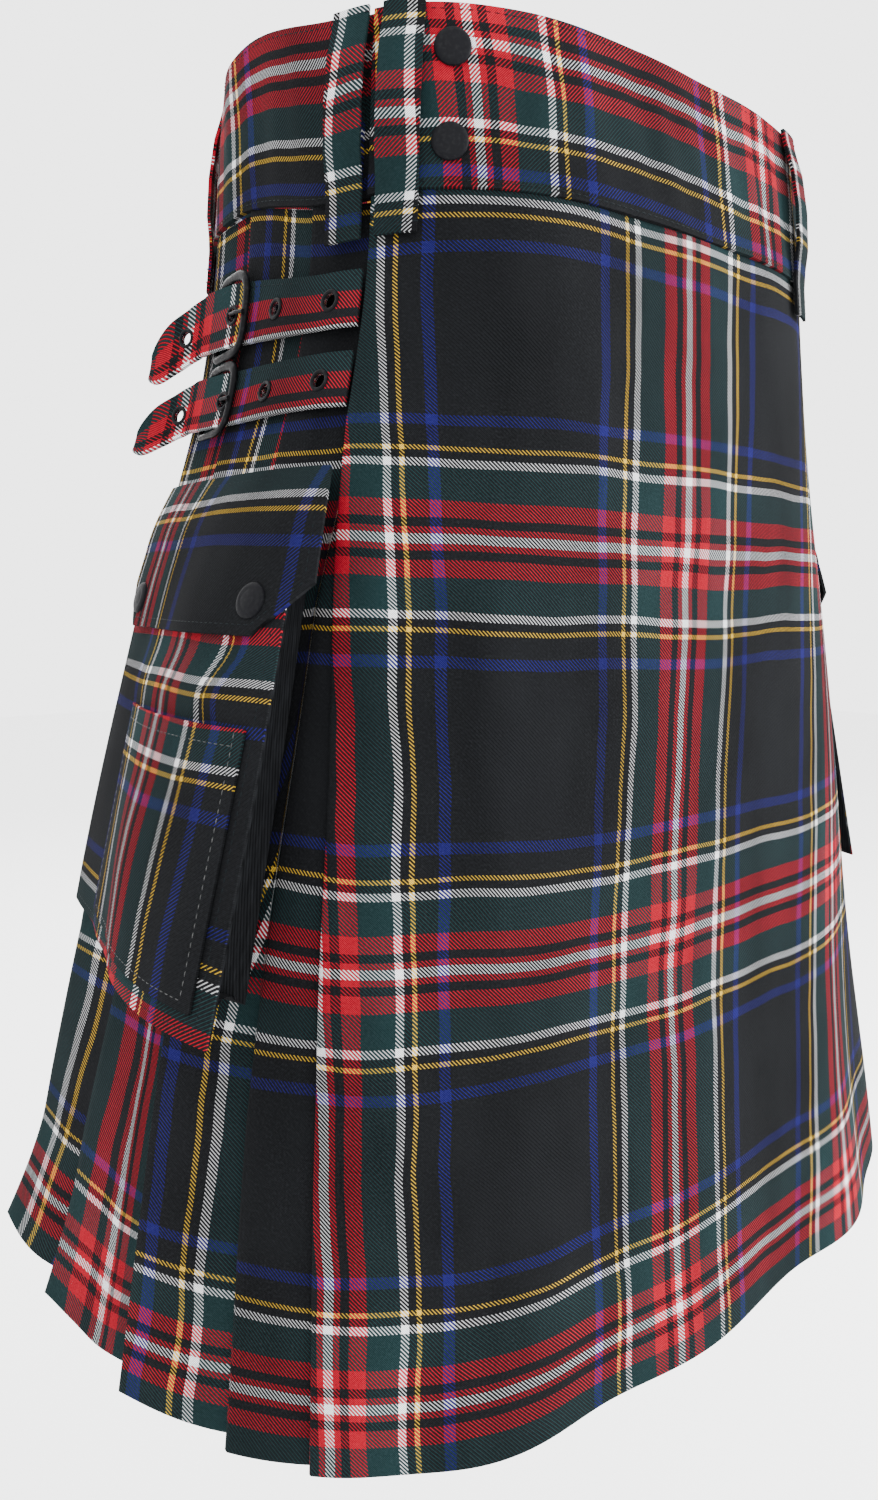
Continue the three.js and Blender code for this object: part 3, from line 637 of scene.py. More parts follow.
def underAt(u, s):  # the under apron's depth, which falls back from its fold
    fold = firstFold(s) - 0.7 / girthAt(s)
    covered = apronEdge(s) - 0.012
    t = np.clip((fold - u) / max(fold - covered, 0.012), 0, 1)
    shallow, deep = -4.6 + 2.2 * down(s), -4.6 - 3.4 * down(s)
    return shallow + (deep - shallow) * t


def foldedSheet(name, pathAt, levels, pieceThickness, clothDown, bowed=True):
    # pathAt gives rows of [u, out, cloth across] at each level, with the same count at each
    longest = np.array(pathAt(levels[-1]), float)
    girth = girthAt(levels[-1])
    gaps = np.hypot(np.diff(longest[:, 0]) * girth, np.diff(longest[:, 1]))
    parts = np.maximum(1, np.rint(gaps / skirt["columnStep"])).astype(int)
    where = np.concatenate([k + np.arange(n) / n for k, n in enumerate(parts)] + [[len(longest) - 1]])
    points, cloth = [], []
    for s in levels:
        path = np.array(pathAt(s), float)
        u, out, across = [np.interp(where, np.arange(len(path)), path[:, k]) for k in range(3)]
        if bowed:
            out = out + drape(u, s)
        points.append(onForm(u, s, out))
        cloth.append(np.stack([across, np.full_like(across, clothDown(s))], axis=-1))
    return clothGrid(name, np.array(points), np.array(cloth), pieceThickness)


def apronCloth(u, s):  # the cloth's own place across the apron
    d = u * girthAt(s) - (5 + 37 * (s - 77) / 530)
    narrowed = 0.93 + 0.07 * np.clip((s - 77) / 400, 0, 1)
    # between 55 and 105 mm to the left of it the lines lie closer
    return np.where(d > 0, d * narrowed, stations(d, [(-405, -422.5), (-105, -122.5), (-55, -55), (0, 0)]))


def turn(u, near, far, towards, girth):  # a rounded fold between two depths, at an edge
    reach = abs(near - far) * 0.42
    return [[u + towards * reach * k / girth, near + (far - near) * t]
            for k, t in ((0.0, 0.0), (0.7, 0.18), (1.0, 0.5), (0.7, 0.82), (0.0, 1.0))]


def apronPath(s):
    girth = girthAt(s)
    edge = apronEdge(s) - 1.6 / girth
    face, facing = skirt["faceOut"], -2.6
    rows = [[edge - k / girth, facing] for k in (30, 20, 10)]
    rows += turn(edge, facing, face, 1, girth)
    leftFold = -skirt["apronLeft"] + 2 / girth
    rows += [[u, face] for u in np.linspace(edge, leftFold, 26)[1:-1]]
    rows += turn(leftFold, face, face - layerPitch(s), -1, girth)
    rows += [[leftFold + k * 0.015, face - layerPitch(s)] for k in (1, 2)]
    return [[u, out, float(apronCloth(u, s))] for u, out in rows]


def underPath(s):
    girth = girthAt(s)
    fold = firstFold(s) - 2.2 / girth
    pitch = layerPitch(s)
    rows = [[fold - k * 0.013, underAt(fold - k * 0.013, s) - pitch] for k in (2, 1)]
    rows += turn(fold, underAt(fold, s) - pitch, underAt(fold, s), 1, girth)
    rows += [[fold - k * 0.0065, underAt(fold - k * 0.0065, s)] for k in (1, 2, 3, 4)]
    start = apronEdge(s) - 0.032
    deep = -4.6 - 3.4 * down(s)
    rows += [[u, deep] for u in np.linspace(start, -skirt["apronLeft"] + 0.045, 22)]
    return [[u, out, 112 + (u - fold) * girth] for u, out in rows]


def pleatPath(s, foldAt, above, mirror):
    girth = girthAt(s)
    pitch = layerPitch(s)
    low = float(share(s, 220, 420))
    folds = [foldAt] + [p["edge"] + stations(s, p["sway"]) / girth - 2.2 / girth for p in pleats]
    depths = [above(foldAt)] + [skirt["faceOut"]] * len(pleats)
    begin = pleats[0]["low"][0][1] - 20
    rows = [[u, above(u) - 2 * pitch, begin] for u in np.linspace(foldAt - 0.026, foldAt, 3)]
    for k, pleat in enumerate(pleats, 1):
        width = folds[k] - folds[k - 1]
        start = depths[k - 1] - 2 * pitch
        back = folds[k] - width * 0.75
        true = width * girth

        def faceAt(u):
            t = (u - folds[k - 1]) / width
            puff = pleat["lift"] * down(s) ** 1.3 * np.clip(t, 0, 1) ** 1.6
            return start + (depths[k] - start) * t + puff

        def clothAt(u):
            t = (u - folds[k - 1]) / width
            values = []
            for name, readWidth in skirt["readWidths"].items():
                atFold = pleat[name][-1][1]
                stretch = true / (readWidth * width / skirt["readShare"])
                values.append(atFold + (stations(t, pleat[name]) - atFold) * stretch)
            return values[0] + (values[1] - values[0]) * low

        face = np.linspace(folds[k - 1] + 0.003, folds[k], 9)
        rows += [[u, faceAt(u), clothAt(u)] for u in face[:-1]]
        bend = turn(folds[k], faceAt(folds[k]), faceAt(folds[k]) - pitch, 1, girth)
        atFold, between = clothAt(folds[k]), (back + folds[k]) / 2
        rows += [[u, out, atFold + i * 0.5] for i, (u, out) in enumerate(bend)]
        rows += [[u, faceAt(u) - pitch, atFold + (folds[k] - u) * girth] for u in (between, back)]
        rows += [[u, faceAt(u) - 2 * pitch, atFold + 40] for u in (back, between, folds[k])]
    deep = depths[-1] - 2 * pitch
    last = rows[-1][2]
    rows += [[u, deep, last + (u - folds[-1]) * girth] for u in np.linspace(folds[-1], 0.4997, 5)[1:]]
    return [[1 - u, out, x] for u, out, x in rows] if mirror else rows


skirtLevels = list(np.arange(74.3, form["hem"], skirt["rowStep"])) + [float(form["hem"])]


def clothDown(s):
    return s - skirt["settStart"]


def apronDown(s):  # the front is cut a little lower at the waist
    return clothDown(s) - 6.5 * (1 - share(s, 74, 184))


def rightPath(s):
    return pleatPath(s, firstFold(s) - 0.7 / girthAt(s), lambda u: underAt(u, s), False)


def leftPath(s):
    return pleatPath(s, skirt["apronLeft"] - 0.7 / girthAt(s), lambda u: skirt["faceOut"], True)


def skirtPiece(name, node, pathAt, downAt=clothDown):
    piece = foldedSheet(name, pathAt, skirtLevels, skirt["thickness"], downAt)
    return finishPiece(piece, [node], "tartan", skirtCloth)


outerApron = skirtPiece("outerApron", "outer_apron", apronPath, apronDown)
underApron = skirtPiece("underApron", "under_apron", underPath)
pleatsRight = skirtPiece("pleatsRight", "pleats_right", rightPath)
pleatsLeft = skirtPiece("pleatsLeft", "pleats_left", leftPath)
print("skirt ready")

# Waistband: three stretches of doubled cloth, with the cloth's own place on each in mm
waistband = {"thickness": 2.6, "settStart": 17, "apronPlace": 119, "backPlace": 298, "underPlace": -60,
             "backEnds": (0.178, 0.827), "underEnds": (0.186, -0.1525), "underOut": -3.5}
bandLevels = list(np.linspace(0.0, form["bandHeight"], 16))


def bandDown(s):
    return s - waistband["settStart"]


def bandWave(u, s):  # slight puckers between the two sewn edges
    return 0.5 * np.sin(u * 260 + s / 17) * np.sin(math.pi * s / form["bandHeight"]) + 0.3 * np.sin(u * 91)


def bandPiece(name, node, usAt, out, clothAt):
    def pathAt(s):
        return [[u, out + bandWave(u, s), clothAt(u * girthAt(s))] for u in usAt(s)]

    piece = foldedSheet(name, pathAt, bandLevels, waistband["thickness"], bandDown, bowed=False)
    return finishPiece(piece, [node], "tartan_band", bandCloth)


bandApron = bandPiece("bandApron", "waistband_apron",
                      lambda s: np.linspace(apronEdge(s), -skirt["apronLeft"], 80),
                      0, lambda way: waistband["apronPlace"] - way)
bandBack = bandPiece("bandBack", "waistband_back", lambda s: np.linspace(*waistband["backEnds"], 140),
                     0, lambda way: waistband["backPlace"] - way)
bandUnder = bandPiece("bandUnder", "waistband_under", lambda s: np.linspace(*waistband["underEnds"], 80),
                      waistband["underOut"], lambda way: way + waistband["underPlace"])
print("waistband ready")

# Bellows pocket with its flap and patch, on each hip, and the cloth's own place on each piece
pocket = {
    "top": 222, "bottom": 420, "bottomRise": 8, "fullAt": 428, "thickness": 1.0,
    "frontEdge": 0.1825, "backEdge": 0.3, "flatFrom": 0.272, "fullness": {"right": 1, "left": 0.55},
    "flapTop": 190, "flapBottom": 262, "flapFront": 0.1738, "flapBack": 0.3025, "flapOut": 2.2,
    "flapThickness": 1.8, "cutAcross": 0.0175, "cutUp": 22,
    "patchTop": 299, "patchBottom": 409, "patchFront": 0.187, "patchBack": 0.266, "patchOut": 1.9,
    "patchThickness": 1.2,
    "bodySett": 250.5, "flapSett": 171.5, "patchSett": 285.2,
    "acrossBody": [(0.165, 83), (0.1902, 51.8), (0.1965, 35), (0.2305, 0), (0.257, -38.7), (0.31, -105)],
    "acrossFlap": [(0.160, 146), (0.1742, 128.7), (0.2365, 51.8), (0.2505, 38.7), (0.262, 16), (0.31, -54)],
    "acrossPatch": [(0.165, 82), (0.1885, 51.8), (0.2035, 32.3), (0.2255, 0), (0.30, -98)],
}


def rise(u):  # the bottom edges climb towards the back
    return pocket["bottomRise"] * share(u, 0.2, 0.3)


def standing(u):  # the front edge stands off, and the back lies flat
    return (1 - share(u, pocket["frontEdge"], pocket["flatFrom"])) ** 1.5


def forward(u, out):  # what stands off also leans towards the front of the kilt
    return -0.0165 * (1 - np.exp(-np.maximum(out, 0) / 28)) * standing(u)


def pocketFace(u, s, side):
    t = share(s, pocket["top"], pocket["fullAt"])
    across = np.sin(math.pi * share(u, pocket["frontEdge"], pocket["backEdge"]))
    full = pocket["fullness"][side] * (10 + 26 * t**0.8) * standing(u)
    # the loaded pocket sags and creases between its edges
    creases = 1.1 * np.sin(u * 120 + s / 30) * across * t + 1.6 * bump(s, 283, 11) * bump(u, 0.205, 0.016)
    return 5 + 3 * t + full + across * (1 + 1.5 * t) + creases


def flapFace(u, s, side):
    t = share(s, pocket["flapTop"], pocket["top"])
    inside = np.clip(u, pocket["frontEdge"], pocket["backEdge"])
    over = pocketFace(inside, np.maximum(s, pocket["top"]), side)
    lip = (1 + np.sin(u * 90 + 0.6)) * share(s, 225, pocket["flapBottom"])
    return pocket["flapOut"] + over * np.sin(math.pi / 2 * t) + lip


def patchFace(u, s, side):
    full = np.sin(math.pi * share(u, pocket["patchFront"], pocket["patchBack"]))
    upward = (pocket["patchBottom"] - s) / (pocket["patchBottom"] - pocket["patchTop"])
    sag = np.sin(math.pi * np.minimum(upward, 0.75))
    return pocketFace(u, s, side) + pocket["patchOut"] + 3 * full * sag


def acrossFlap(u, s):
    return stations(u, pocket["acrossFlap"])


def acrossBody(u, s):  # two creases make its lines swing
    return stations(u + 0.0035 * bump(s, 266, 12) - 0.004 * bump(s, 289, 11), pocket["acrossBody"])


def acrossPatch(u, s):
    return stations(u, pocket["acrossPatch"])


def toSide(u, side):  # the left pocket mirrors the right one
    return u if side == "right" else 1 - u


def pocketPanel(name, node, side, us, ends, rows, out, acrossAt, settStart, thickness, under=0):
    # under is how far the face that sets the lean lies below this piece
    top, bottom = ends
    points, cloth = [], []
    for i in range(rows + 1):
        s = top + (bottom - top) * i / rows
        level = out(us, s, side)
        leaning = us + forward(us, level - under)
        place = toSide(leaning, side)
        points.append(onForm(place, s, level + drape(place, s)))
        cloth.append(np.stack([acrossAt(leaning, s), (s - settStart) * np.ones_like(us)], axis=-1))
    piece = clothGrid(name, np.array(points), np.array(cloth), thickness)
    return finishPiece(piece, [node], "tartan_pocket", pocketCloth)


def flapEnd(u):  # the flap's bottom edge, with its cut corners
    step = np.minimum(share(u, pocket["flapFront"], pocket["flapFront"] + pocket["cutAcross"]),
                      share(-u, -pocket["flapBack"], -pocket["flapBack"] + pocket["cutAcross"]))
    return pocket["flapBottom"] - pocket["cutUp"] * (1 - step)


def makeGusset(side, us):  # it runs down one side, along the bottom and up the other
    first, last, top = pocket["frontEdge"], pocket["backEdge"], pocket["top"]
    lowest = pocket["bottom"] - 1
    edgeU = np.concatenate([np.full(40, first), us[1:-1], np.full(40, last)])
    edgeS = np.concatenate([np.linspace(top, lowest, 40), lowest - rise(us[1:-1]),
                            np.linspace(lowest - pocket["bottomRise"], top, 40)])
    faceOut = pocketFace(edgeU, edgeS, side)
    run = np.concatenate([[0], np.cumsum(np.hypot(np.diff(edgeU) * 1200, np.diff(edgeS)))])
    atFront, atBack = edgeU < first + 1e-6, edgeU > last - 1e-6
    atBottom = edgeS > lowest - rise(edgeU) - 0.5
    sewnOut = 0.8
    points, cloth = [], []
    for t in np.linspace(0, 1, 17):
        depth = sewnOut + (faceOut - pocket["thickness"] - sewnOut) * t
        # the bellows fold in between its two sewn edges
        inward = np.minimum(faceOut * 0.3, 9) * math.sin(math.pi * t)
        toBack = np.where(atFront, inward, np.where(atBack, -inward, 0)) / girthAt(edgeS)
        upward = np.where(atBottom, -inward, 0)
        leaning = edgeU + forward(edgeU, faceOut) * t - 0.0055 * standing(edgeU) * (1 - t) + toBack
        place = toSide(leaning, side)
        points.append(onForm(place, edgeS + upward, depth + drape(place, edgeS)))
        cloth.append(np.stack([np.full_like(run, 62 + 24 * t), 66 + run * 0.09], axis=-1))
    piece = clothGrid(f"pocket{side.title()}Gusset", np.array(points), np.array(cloth), pocket["thickness"])
    return finishPiece(piece, [f"pocket_{side}_gusset"], "tartan_pocket", pocketCloth)


def makePocket(side):
    name, node = f"pocket{side.title()}", f"pocket_{side}"
    us = np.linspace(pocket["frontEdge"], pocket["backEdge"], 60)
    ends = pocket["top"], pocket["bottom"] - rise(us)
    front = pocketPanel(name + "Front", node + "_front", side, us, ends, 70,
                        pocketFace, acrossBody, pocket["bodySett"], pocket["thickness"])
    gusset = makeGusset(side, us)
    corner = pocket["flapFront"] + pocket["cutAcross"], pocket["flapBack"] - pocket["cutAcross"]
    flapU = np.concatenate([np.linspace(pocket["flapFront"], corner[0], 9)[:-1], np.linspace(*corner, 50),
                            np.linspace(corner[1], pocket["flapBack"], 9)[1:]])
    flap = pocketPanel(name + "Flap", node + "_flap", side, flapU, (pocket["flapTop"], flapEnd(flapU)), 30,
                       flapFace, acrossFlap, pocket["flapSett"], pocket["flapThickness"], pocket["flapOut"])
    patchU = np.linspace(pocket["patchFront"], pocket["patchBack"], 54)
    patchEnds = pocket["patchTop"], pocket["patchBottom"] - rise(patchU)
    patch = pocketPanel(name + "Patch", node + "_patch", side, patchU, patchEnds, 44,
                        patchFace, acrossPatch, pocket["patchSett"], pocket["patchThickness"],
                        pocket["patchOut"])
    return front, gusset, flap, patch


pocketPieces = {side: makePocket(side) for side in ("right", "left")}
print("pockets ready")


def frameAt(u, s, out, tilt=0.0):
    # x runs towards the back along the cloth, y down it and z outward
    middle = Vector(onForm(u, s, out).tolist())
    outward = (Vector(onForm(u, s, out + 10).tolist()) - middle).normalized()
    lower = (Vector(onForm(u, s + 4, out).tolist()) - Vector(onForm(u, s - 4, out).tolist())).normalized()
    back = lower.cross(outward).normalized()
    outward = back.cross(lower).normalized()
    turnedBack = back * math.cos(tilt) + outward * math.sin(tilt)
    turnedOut = outward * math.cos(tilt) - back * math.sin(tilt)
    grid = Matrix((turnedBack, lower, turnedOut)).transposed().to_4x4()
    grid.translation = middle
    return grid


def copyOf(piece, name):
    twin = piece.copy()
    twin.data = piece.data.copy()
    twin.name = name
    bpy.context.collection.objects.link(twin)
    return twin


def putAt(piece, grid):
    piece.data.transform(Matrix.Scale(0.001, 4))
    piece.data.transform(grid)
    if grid.to_3x3().determinant() < 0:
        piece.data.flip_normals()
    piece.data.update()
    return piece


# Snap caps, modelled once in mm and copied
snap = {"radius": 7.9, "height": 2.4, "waist": [("upper", 18), ("lower", 56)], "waistAt": 0.1375,
        "flap": [(1, 0.1925), (2, 0.284)], "flapDown": 248}


def snapCap():
    clearSelection()
    bpy.ops.mesh.primitive_circle_add(vertices=48, radius=snap["radius"], fill_type="NGON")
    cap = bpy.context.object
    editAll()
    bpy.ops.mesh.extrude_region_move(TRANSFORM_OT_translate={"value": (0, 0, 1.0)})
    bpy.ops.transform.resize(value=(0.97, 0.97, 1))
    for step, lift in ((0.9, 0.55), (1.3, 0.30), (0.8, -0.12), (0.6, 0.16), (2.0, 0.18), (1.6, 0.06)):
        bpy.ops.mesh.inset(thickness=step, depth=lift)
    closeEdit()
    applyModifier(cap, "BEVEL", width=0.18, segments=2, limit_method="ANGLE")
    smooth(cap, 40)
    return cap


firstCap = snapCap()
for where, s in snap["waist"]:
    cap = putAt(copyOf(firstCap, f"snapWaist{where.title()}"), frameAt(snap["waistAt"], s, 1.8))
    finishPiece(cap, [f"snap_waist_{where}"], "snap_metal", snapMetal)


def onFlap(u, s, side):
    out = flapFace(u, s, side)
    place = toSide(u + forward(u, out - pocket["flapOut"]), side)
    return Vector(onForm(place, s, out + drape(place, s)).tolist())


for side in ("right", "left"):
    for k, u in snap["flap"]:
        s = snap["flapDown"]
        back = (onFlap(u + 0.003, s, side) - onFlap(u - 0.003, s, side)).normalized()
        outward = back.cross(onFlap(u, s + 4, side) - onFlap(u, s - 4, side)).normalized()
        middle = onFlap(u, s, side)
        if outward.x * middle.x < 0:
            outward.negate()
        grid = Matrix((back, outward.cross(back), outward)).transposed().to_4x4()
        grid.translation = middle + outward * 0.0008
        cap = putAt(copyOf(firstCap, f"snapFlap{side.title()}{k}"), grid)
        finishPiece(cap, [f"snap_flap_{side}_{k}"], "snap_metal", snapMetal)
bpy.data.objects.remove(firstCap)
print("snaps ready")

# Belt loops, sewn down above and below the band and standing off it between
beltLoops = {
    "width": 17,
    "standOff": [(-1, 0), (3, 0.3), (10, 1.6), (18, 3.4), (37, 4.4),
                 (56, 3.4), (66, 1.4), (74, 0.4), (92, 0)],
    # node, way round, cloth across at the front and the back edge, cloth down at the top
    "places": [("loop_apron", 0.159, 35.5, 19, 46), ("loop_right", 0.1845, 19, 36, 33),
               ("loop_right_back", 0.345, -12, 10, 30), ("loop_back", 0.5, 20, 42, 17),
               ("loop_left_back", 0.655, -40, -18, 60), ("loop_left", 0.8975, 14, 36, 17)],
}


def beltLoop(node, u, clothFront, clothBack, clothTop):
    s = np.linspace(-1, 92, 40)[:, None]
    x = np.linspace(-1, 1, 9)[None, :]
    half = beltLoops["width"] / 2
    lift = stations(s, beltLoops["standOff"])
    edge = 0.35 * (1 - x**4)  # rounded towards the folded edges
    out = 2.6 + lift + edge + drape(u, s) * (s > 74)
    points = onForm(u + x * half / girthAt(0), s, out)
    across = (clothFront + clothBack) / 2 + x * (clothBack - clothFront) / 2
    cloth = np.stack(np.broadcast_arrays(across, s - clothTop), axis=-1)
    piece = clothGrid(node.title().replace("_", ""), points, cloth, 1.6)
    return finishPiece(piece, [node], "tartan_band", bandCloth)


loopPieces = [beltLoop(*row) for row in beltLoops["places"]]
print("loops ready")

# Straps, eyelets and buckles
strap = {
    "start": 0.1738, "width": 24, "thickness": 1.8, "buckleAt": 0.2648, "buckleHalf": 16,
    "middles": [("upper", 116), ("lower", 151)], "holes": [14, 51, 88, 125], "droop": 16,
}


def strapOut(run, girth):
    right = (strap["buckleAt"] - 0.1745) * girth - strap["buckleHalf"]
    left = right + 2 * strap["buckleHalf"]
    return stations(run, [(0, 0.9), (12, 2.7), (right, 2.7), (left, 6.7),
                          (left + 10, 8.4), (left + 20, 14), (left + 36, 27)])


def strapDroop(run, left):  # the loose tip hangs
    return strap["droop"] * share(run, left + 4, left + 40) ** 1.5


def makeStrap(which, middle):
    girth = float(girthAt(middle))
    start = strap["start"] + 0.4 / girth
    right = (strap["buckleAt"] - start) * girth - strap["buckleHalf"]
    left = right + 2 * strap["buckleHalf"]
    run = np.linspace(0, right + 68, 110)[:, None]
    x = np.linspace(-1, 1, 17)[None, :]
    tip = np.where(run > right + 58, np.sqrt(np.clip(1 - ((run - right - 58) / 11.0) ** 2, 0.02, 1)), 1)
    s = middle + strapDroop(run, left) + x * tip * strap["width"] / 2
    wave = 0.35 * np.sin(run / 13.0) * (1 - x**2)
    out = strapOut(run, girth) - 0.9 + wave
    points = onForm(start + run / girth, s, out)
    cloth = np.stack(np.broadcast_arrays(run + 56, -13.2 + x * 12), axis=-1)
    piece = clothGrid(f"strap{which.title()}", points, cloth, strap["thickness"])
    frames = []
    for distance in strap["holes"]:
        tilt = math.atan(float(strapOut(distance + 3, girth) - strapOut(distance - 3, girth)) / 6)
        lower, out = float(strapDroop(distance, left)), float(strapOut(distance, girth))
        frames.append(frameAt(start + distance / girth, middle + lower, out, tilt))
    for grid in frames:
        clearSelection()
        bpy.ops.mesh.primitive_cylinder_add(vertices=20, radius=3.3, depth=12)
        punch = putAt(bpy.context.object, grid)
        applyModifier(piece, "BOOLEAN", object=punch, operation="DIFFERENCE", solver="EXACT")
        bpy.data.objects.remove(punch)
    smooth(piece)
    finishPiece(piece, [f"strap_{which}"], "tartan_strap", strapCloth)
    return piece, frames, girth


def eyeletRing():
    clearSelection()
    bpy.ops.mesh.primitive_torus_add(major_segments=32, minor_segments=10,
                                     major_radius=4.0, minor_radius=0.95)
    ring = bpy.context.object
    editAll()
    bpy.ops.transform.resize(value=(1, 1, 0.62))
    bpy.ops.transform.translate(value=(0, 0, 0.35))
    bpy.ops.object.mode_set(mode="OBJECT")
    smooth(ring, 60)
    return ring


def buckleFrame(which, middle, girth):
    # a torus whose ring is drawn out to the buckle's outline, flat at the back bar
    clearSelection()
    bpy.ops.mesh.primitive_torus_add(major_segments=72, minor_segments=12, major_radius=10, minor_radius=1)
    piece = bpy.context.object
    half, high = strap["buckleHalf"], strap["width"] / 2 + 3.2
    count = len(piece.data.vertices)
    spots = np.empty(count * 3)
    piece.data.vertices.foreach_get("co", spots)
    spots = spots.reshape(-1, 3)
    angle = np.arctan2(spots[:, 1], spots[:, 0])
    side = np.hypot(spots[:, 0], spots[:, 1]) - 10
    power = np.where(np.cos(angle) > 0, 0.22, 0.55)
    x = half * np.sign(np.cos(angle)) * np.abs(np.cos(angle)) ** power
    y = high * np.sign(np.sin(angle)) * np.abs(np.sin(angle)) ** np.where(np.cos(angle) > 0, 0.22, 0.5)
    size = np.hypot(np.cos(angle) / half, np.sin(angle) / high)
    nx, ny = np.cos(angle) / half / size, np.sin(angle) / high / size
    bar = 1.75 + 0.35 * (x < 0)
    x, y = x + nx * side * bar, y + ny * side * bar
    out = 2 + 2.8 * (half - x) / (2 * half) + spots[:, 2] * 1.55
    points = onForm(strap["buckleAt"] + x / girth, middle + y, out)
    piece.data.vertices.foreach_set("co", points.ravel())
    piece.data.update()
    editAll()
    closeEdit()
    piece.name = f"buckle{which.title()}"
    smooth(piece, 60)
    return finishPiece(piece, [f"buckle_{which}"], "buckle_metal", buckleMetal)


def prongRod(which, middle, girth, hole):
    def onPlace(x, out):
        return Vector(onForm(strap["buckleAt"] + x / girth, middle, out).tolist())

    def inHole(x, out):
        return hole @ Vector((x / 1000, 0, out / 1000))

    half = strap["buckleHalf"]
    corners = [onPlace(half - 2.8, 2.3), inHole(0.9, -2.4), inHole(-0.7, 1.9),
               onPlace(-half + 4, 7.5), onPlace(-half - 3, 7.5)]
    line = []
    for k in range(len(corners) - 1):
        for t in (0, 0.25, 0.5, 0.75):
            line.append(corners[k].lerp(corners[k + 1], t))
    line.append(corners[-1])
    clearSelection()
    bpy.ops.mesh.primitive_circle_add(vertices=12, radius=0.0009, fill_type="NGON")
    piece = bpy.context.object
    way = (line[1] - line[0]).normalized()
    piece.data.transform(Matrix.Translation(line[0]) @ way.to_track_quat("Z", "Y").to_matrix().to_4x4())
    editAll()
    for a, b in zip(line, line[1:]):
        bpy.ops.mesh.extrude_region_move(TRANSFORM_OT_translate={"value": tuple(b - a)})
    closeEdit()
    piece.name = f"prong{which.title()}"
    smooth(piece, 60)
    return finishPiece(piece, [f"prong_{which}"], "buckle_metal", buckleMetal)


def makeTab(which, middle, girth):
    us = np.linspace(strap["buckleAt"] + 17.9 / girth, strap["buckleAt"] + 42 / girth, 20)[:, None]
    x = np.linspace(-1, 1, 12)[None, :]
    points = onForm(us, middle + 9 * x, 1.85 + 0 * us * x)
    cloth = np.stack(np.broadcast_arrays(us * girth, 70 + 9 * x), axis=-1)
    piece = clothGrid(f"tab{which.title()}", points, cloth, 1.9)
    return finishPiece(piece, [f"tab_{which}"], "strap_tab", tabCloth)


strapPieces = {}
firstEyelet = eyeletRing()
for which, middle in strap["middles"]:
    piece, frames, girth = makeStrap(which, middle)
    eyelets = []
    for k, grid in enumerate(frames, 1):
        eyelet = putAt(copyOf(firstEyelet, f"eyelet{which.title()}{k}"), grid)
        eyelets.append(finishPiece(eyelet, [f"eyelet_{which}_{k}"], "buckle_metal", buckleMetal))
    buckleFrame(which, middle, girth)
    prongRod(which, middle, girth, frames[2])
    strapPieces[which] = piece, eyelets, makeTab(which, middle, girth)
bpy.data.objects.remove(firstEyelet)
print("straps and buckles ready")

# Stitches: one short sewn thread, copied along each row and joined
stitch = {"length": 2.3, "gap": 1.5, "radius": 0.22}


def oneStitch():
    clearSelection()
    bpy.ops.mesh.primitive_cylinder_add(vertices=6, radius=stitch["radius"], depth=stitch["length"])
    thread = bpy.context.object
    editAll()
    bpy.ops.mesh.subdivide(number_cuts=1)
    bpy.ops.object.mode_set(mode="OBJECT")
    spots = np.array([v.co[:] for v in thread.data.vertices])
    faces = [list(p.vertices) for p in thread.data.polygons]
    bpy.data.objects.remove(thread)
    sag = (spots[:, 2] / (stitch["length"] / 2)) ** 2 * 0.32  # the ends dip into the cloth
    local = np.stack([spots[:, 2], spots[:, 1], spots[:, 0] - sag], axis=-1) / 1000
    return local, faces


def sewnRows(name, rows, material, slotName):
    # each row is a pair of lines of points: on the cloth, and a little further out
    shape, faces = oneStitch()
    verts, polys = [], []
    step = (stitch["length"] + stitch["gap"]) / 1000
    for line, outer in rows:
        run = np.concatenate([[0], np.cumsum(np.linalg.norm(np.diff(line, axis=0), axis=1))])
        for at in np.arange(step / 2, run[-1] - step / 2, step):
            here = np.array([np.interp(at, run, line[:, k]) for k in range(3)])
            ahead = np.array([np.interp(at + 0.0005, run, line[:, k]) for k in range(3)])
            up = np.array([np.interp(at, run, outer[:, k]) for k in range(3)]) - here
            way = (ahead - here) / np.linalg.norm(ahead - here)
            up -= way * up.dot(way)
            up /= np.linalg.norm(up)
            side = np.cross(up, way)
            base = len(verts)
            verts.extend((here + shape @ np.stack([way, side, up])).tolist())
            polys.extend([[base + i for i in face] for face in faces])
    mesh = bpy.data.meshes.new(name)
    mesh.from_pydata(verts, [], polys)
    piece = bpy.data.objects.new(name, mesh)
    bpy.context.collection.objects.link(piece)
    smooth(piece, 60)
    return finishPiece(piece, [], slotName, material)


def rowOn(us, ss, outAt, side="right", under=None):
    us, ss = [a.astype(float) for a in np.broadcast_arrays(us, ss)]
    leaning = us if under is None else us + forward(us, outAt(us, ss) - under)
    place = toSide(leaning, side)
    out = outAt(us, ss) + drape(place, ss) * (ss > form["bandHeight"])
    return onForm(place, ss, out), onForm(place, ss, out + 2)


def patchRows(side):
    first, last = pocket["patchFront"] + 0.0028, pocket["patchBack"] - 0.0028
    top, bottom = pocket["patchTop"] + 7, pocket["patchBottom"] - 4
    across = np.linspace(first, last, 40)
    above = 0.75

    def sewn(u, s):
        return rowOn(u, s, lambda v, w: patchFace(v, w, side) + above, side, pocket["patchOut"] + above)

    rows = [sewn(edge, np.linspace(pocket["patchTop"] + 1, bottom - float(rise(edge)), 30))
            for edge in (first, last)]
    return rows + [sewn(across, bottom - rise(across)), sewn(across, top)]


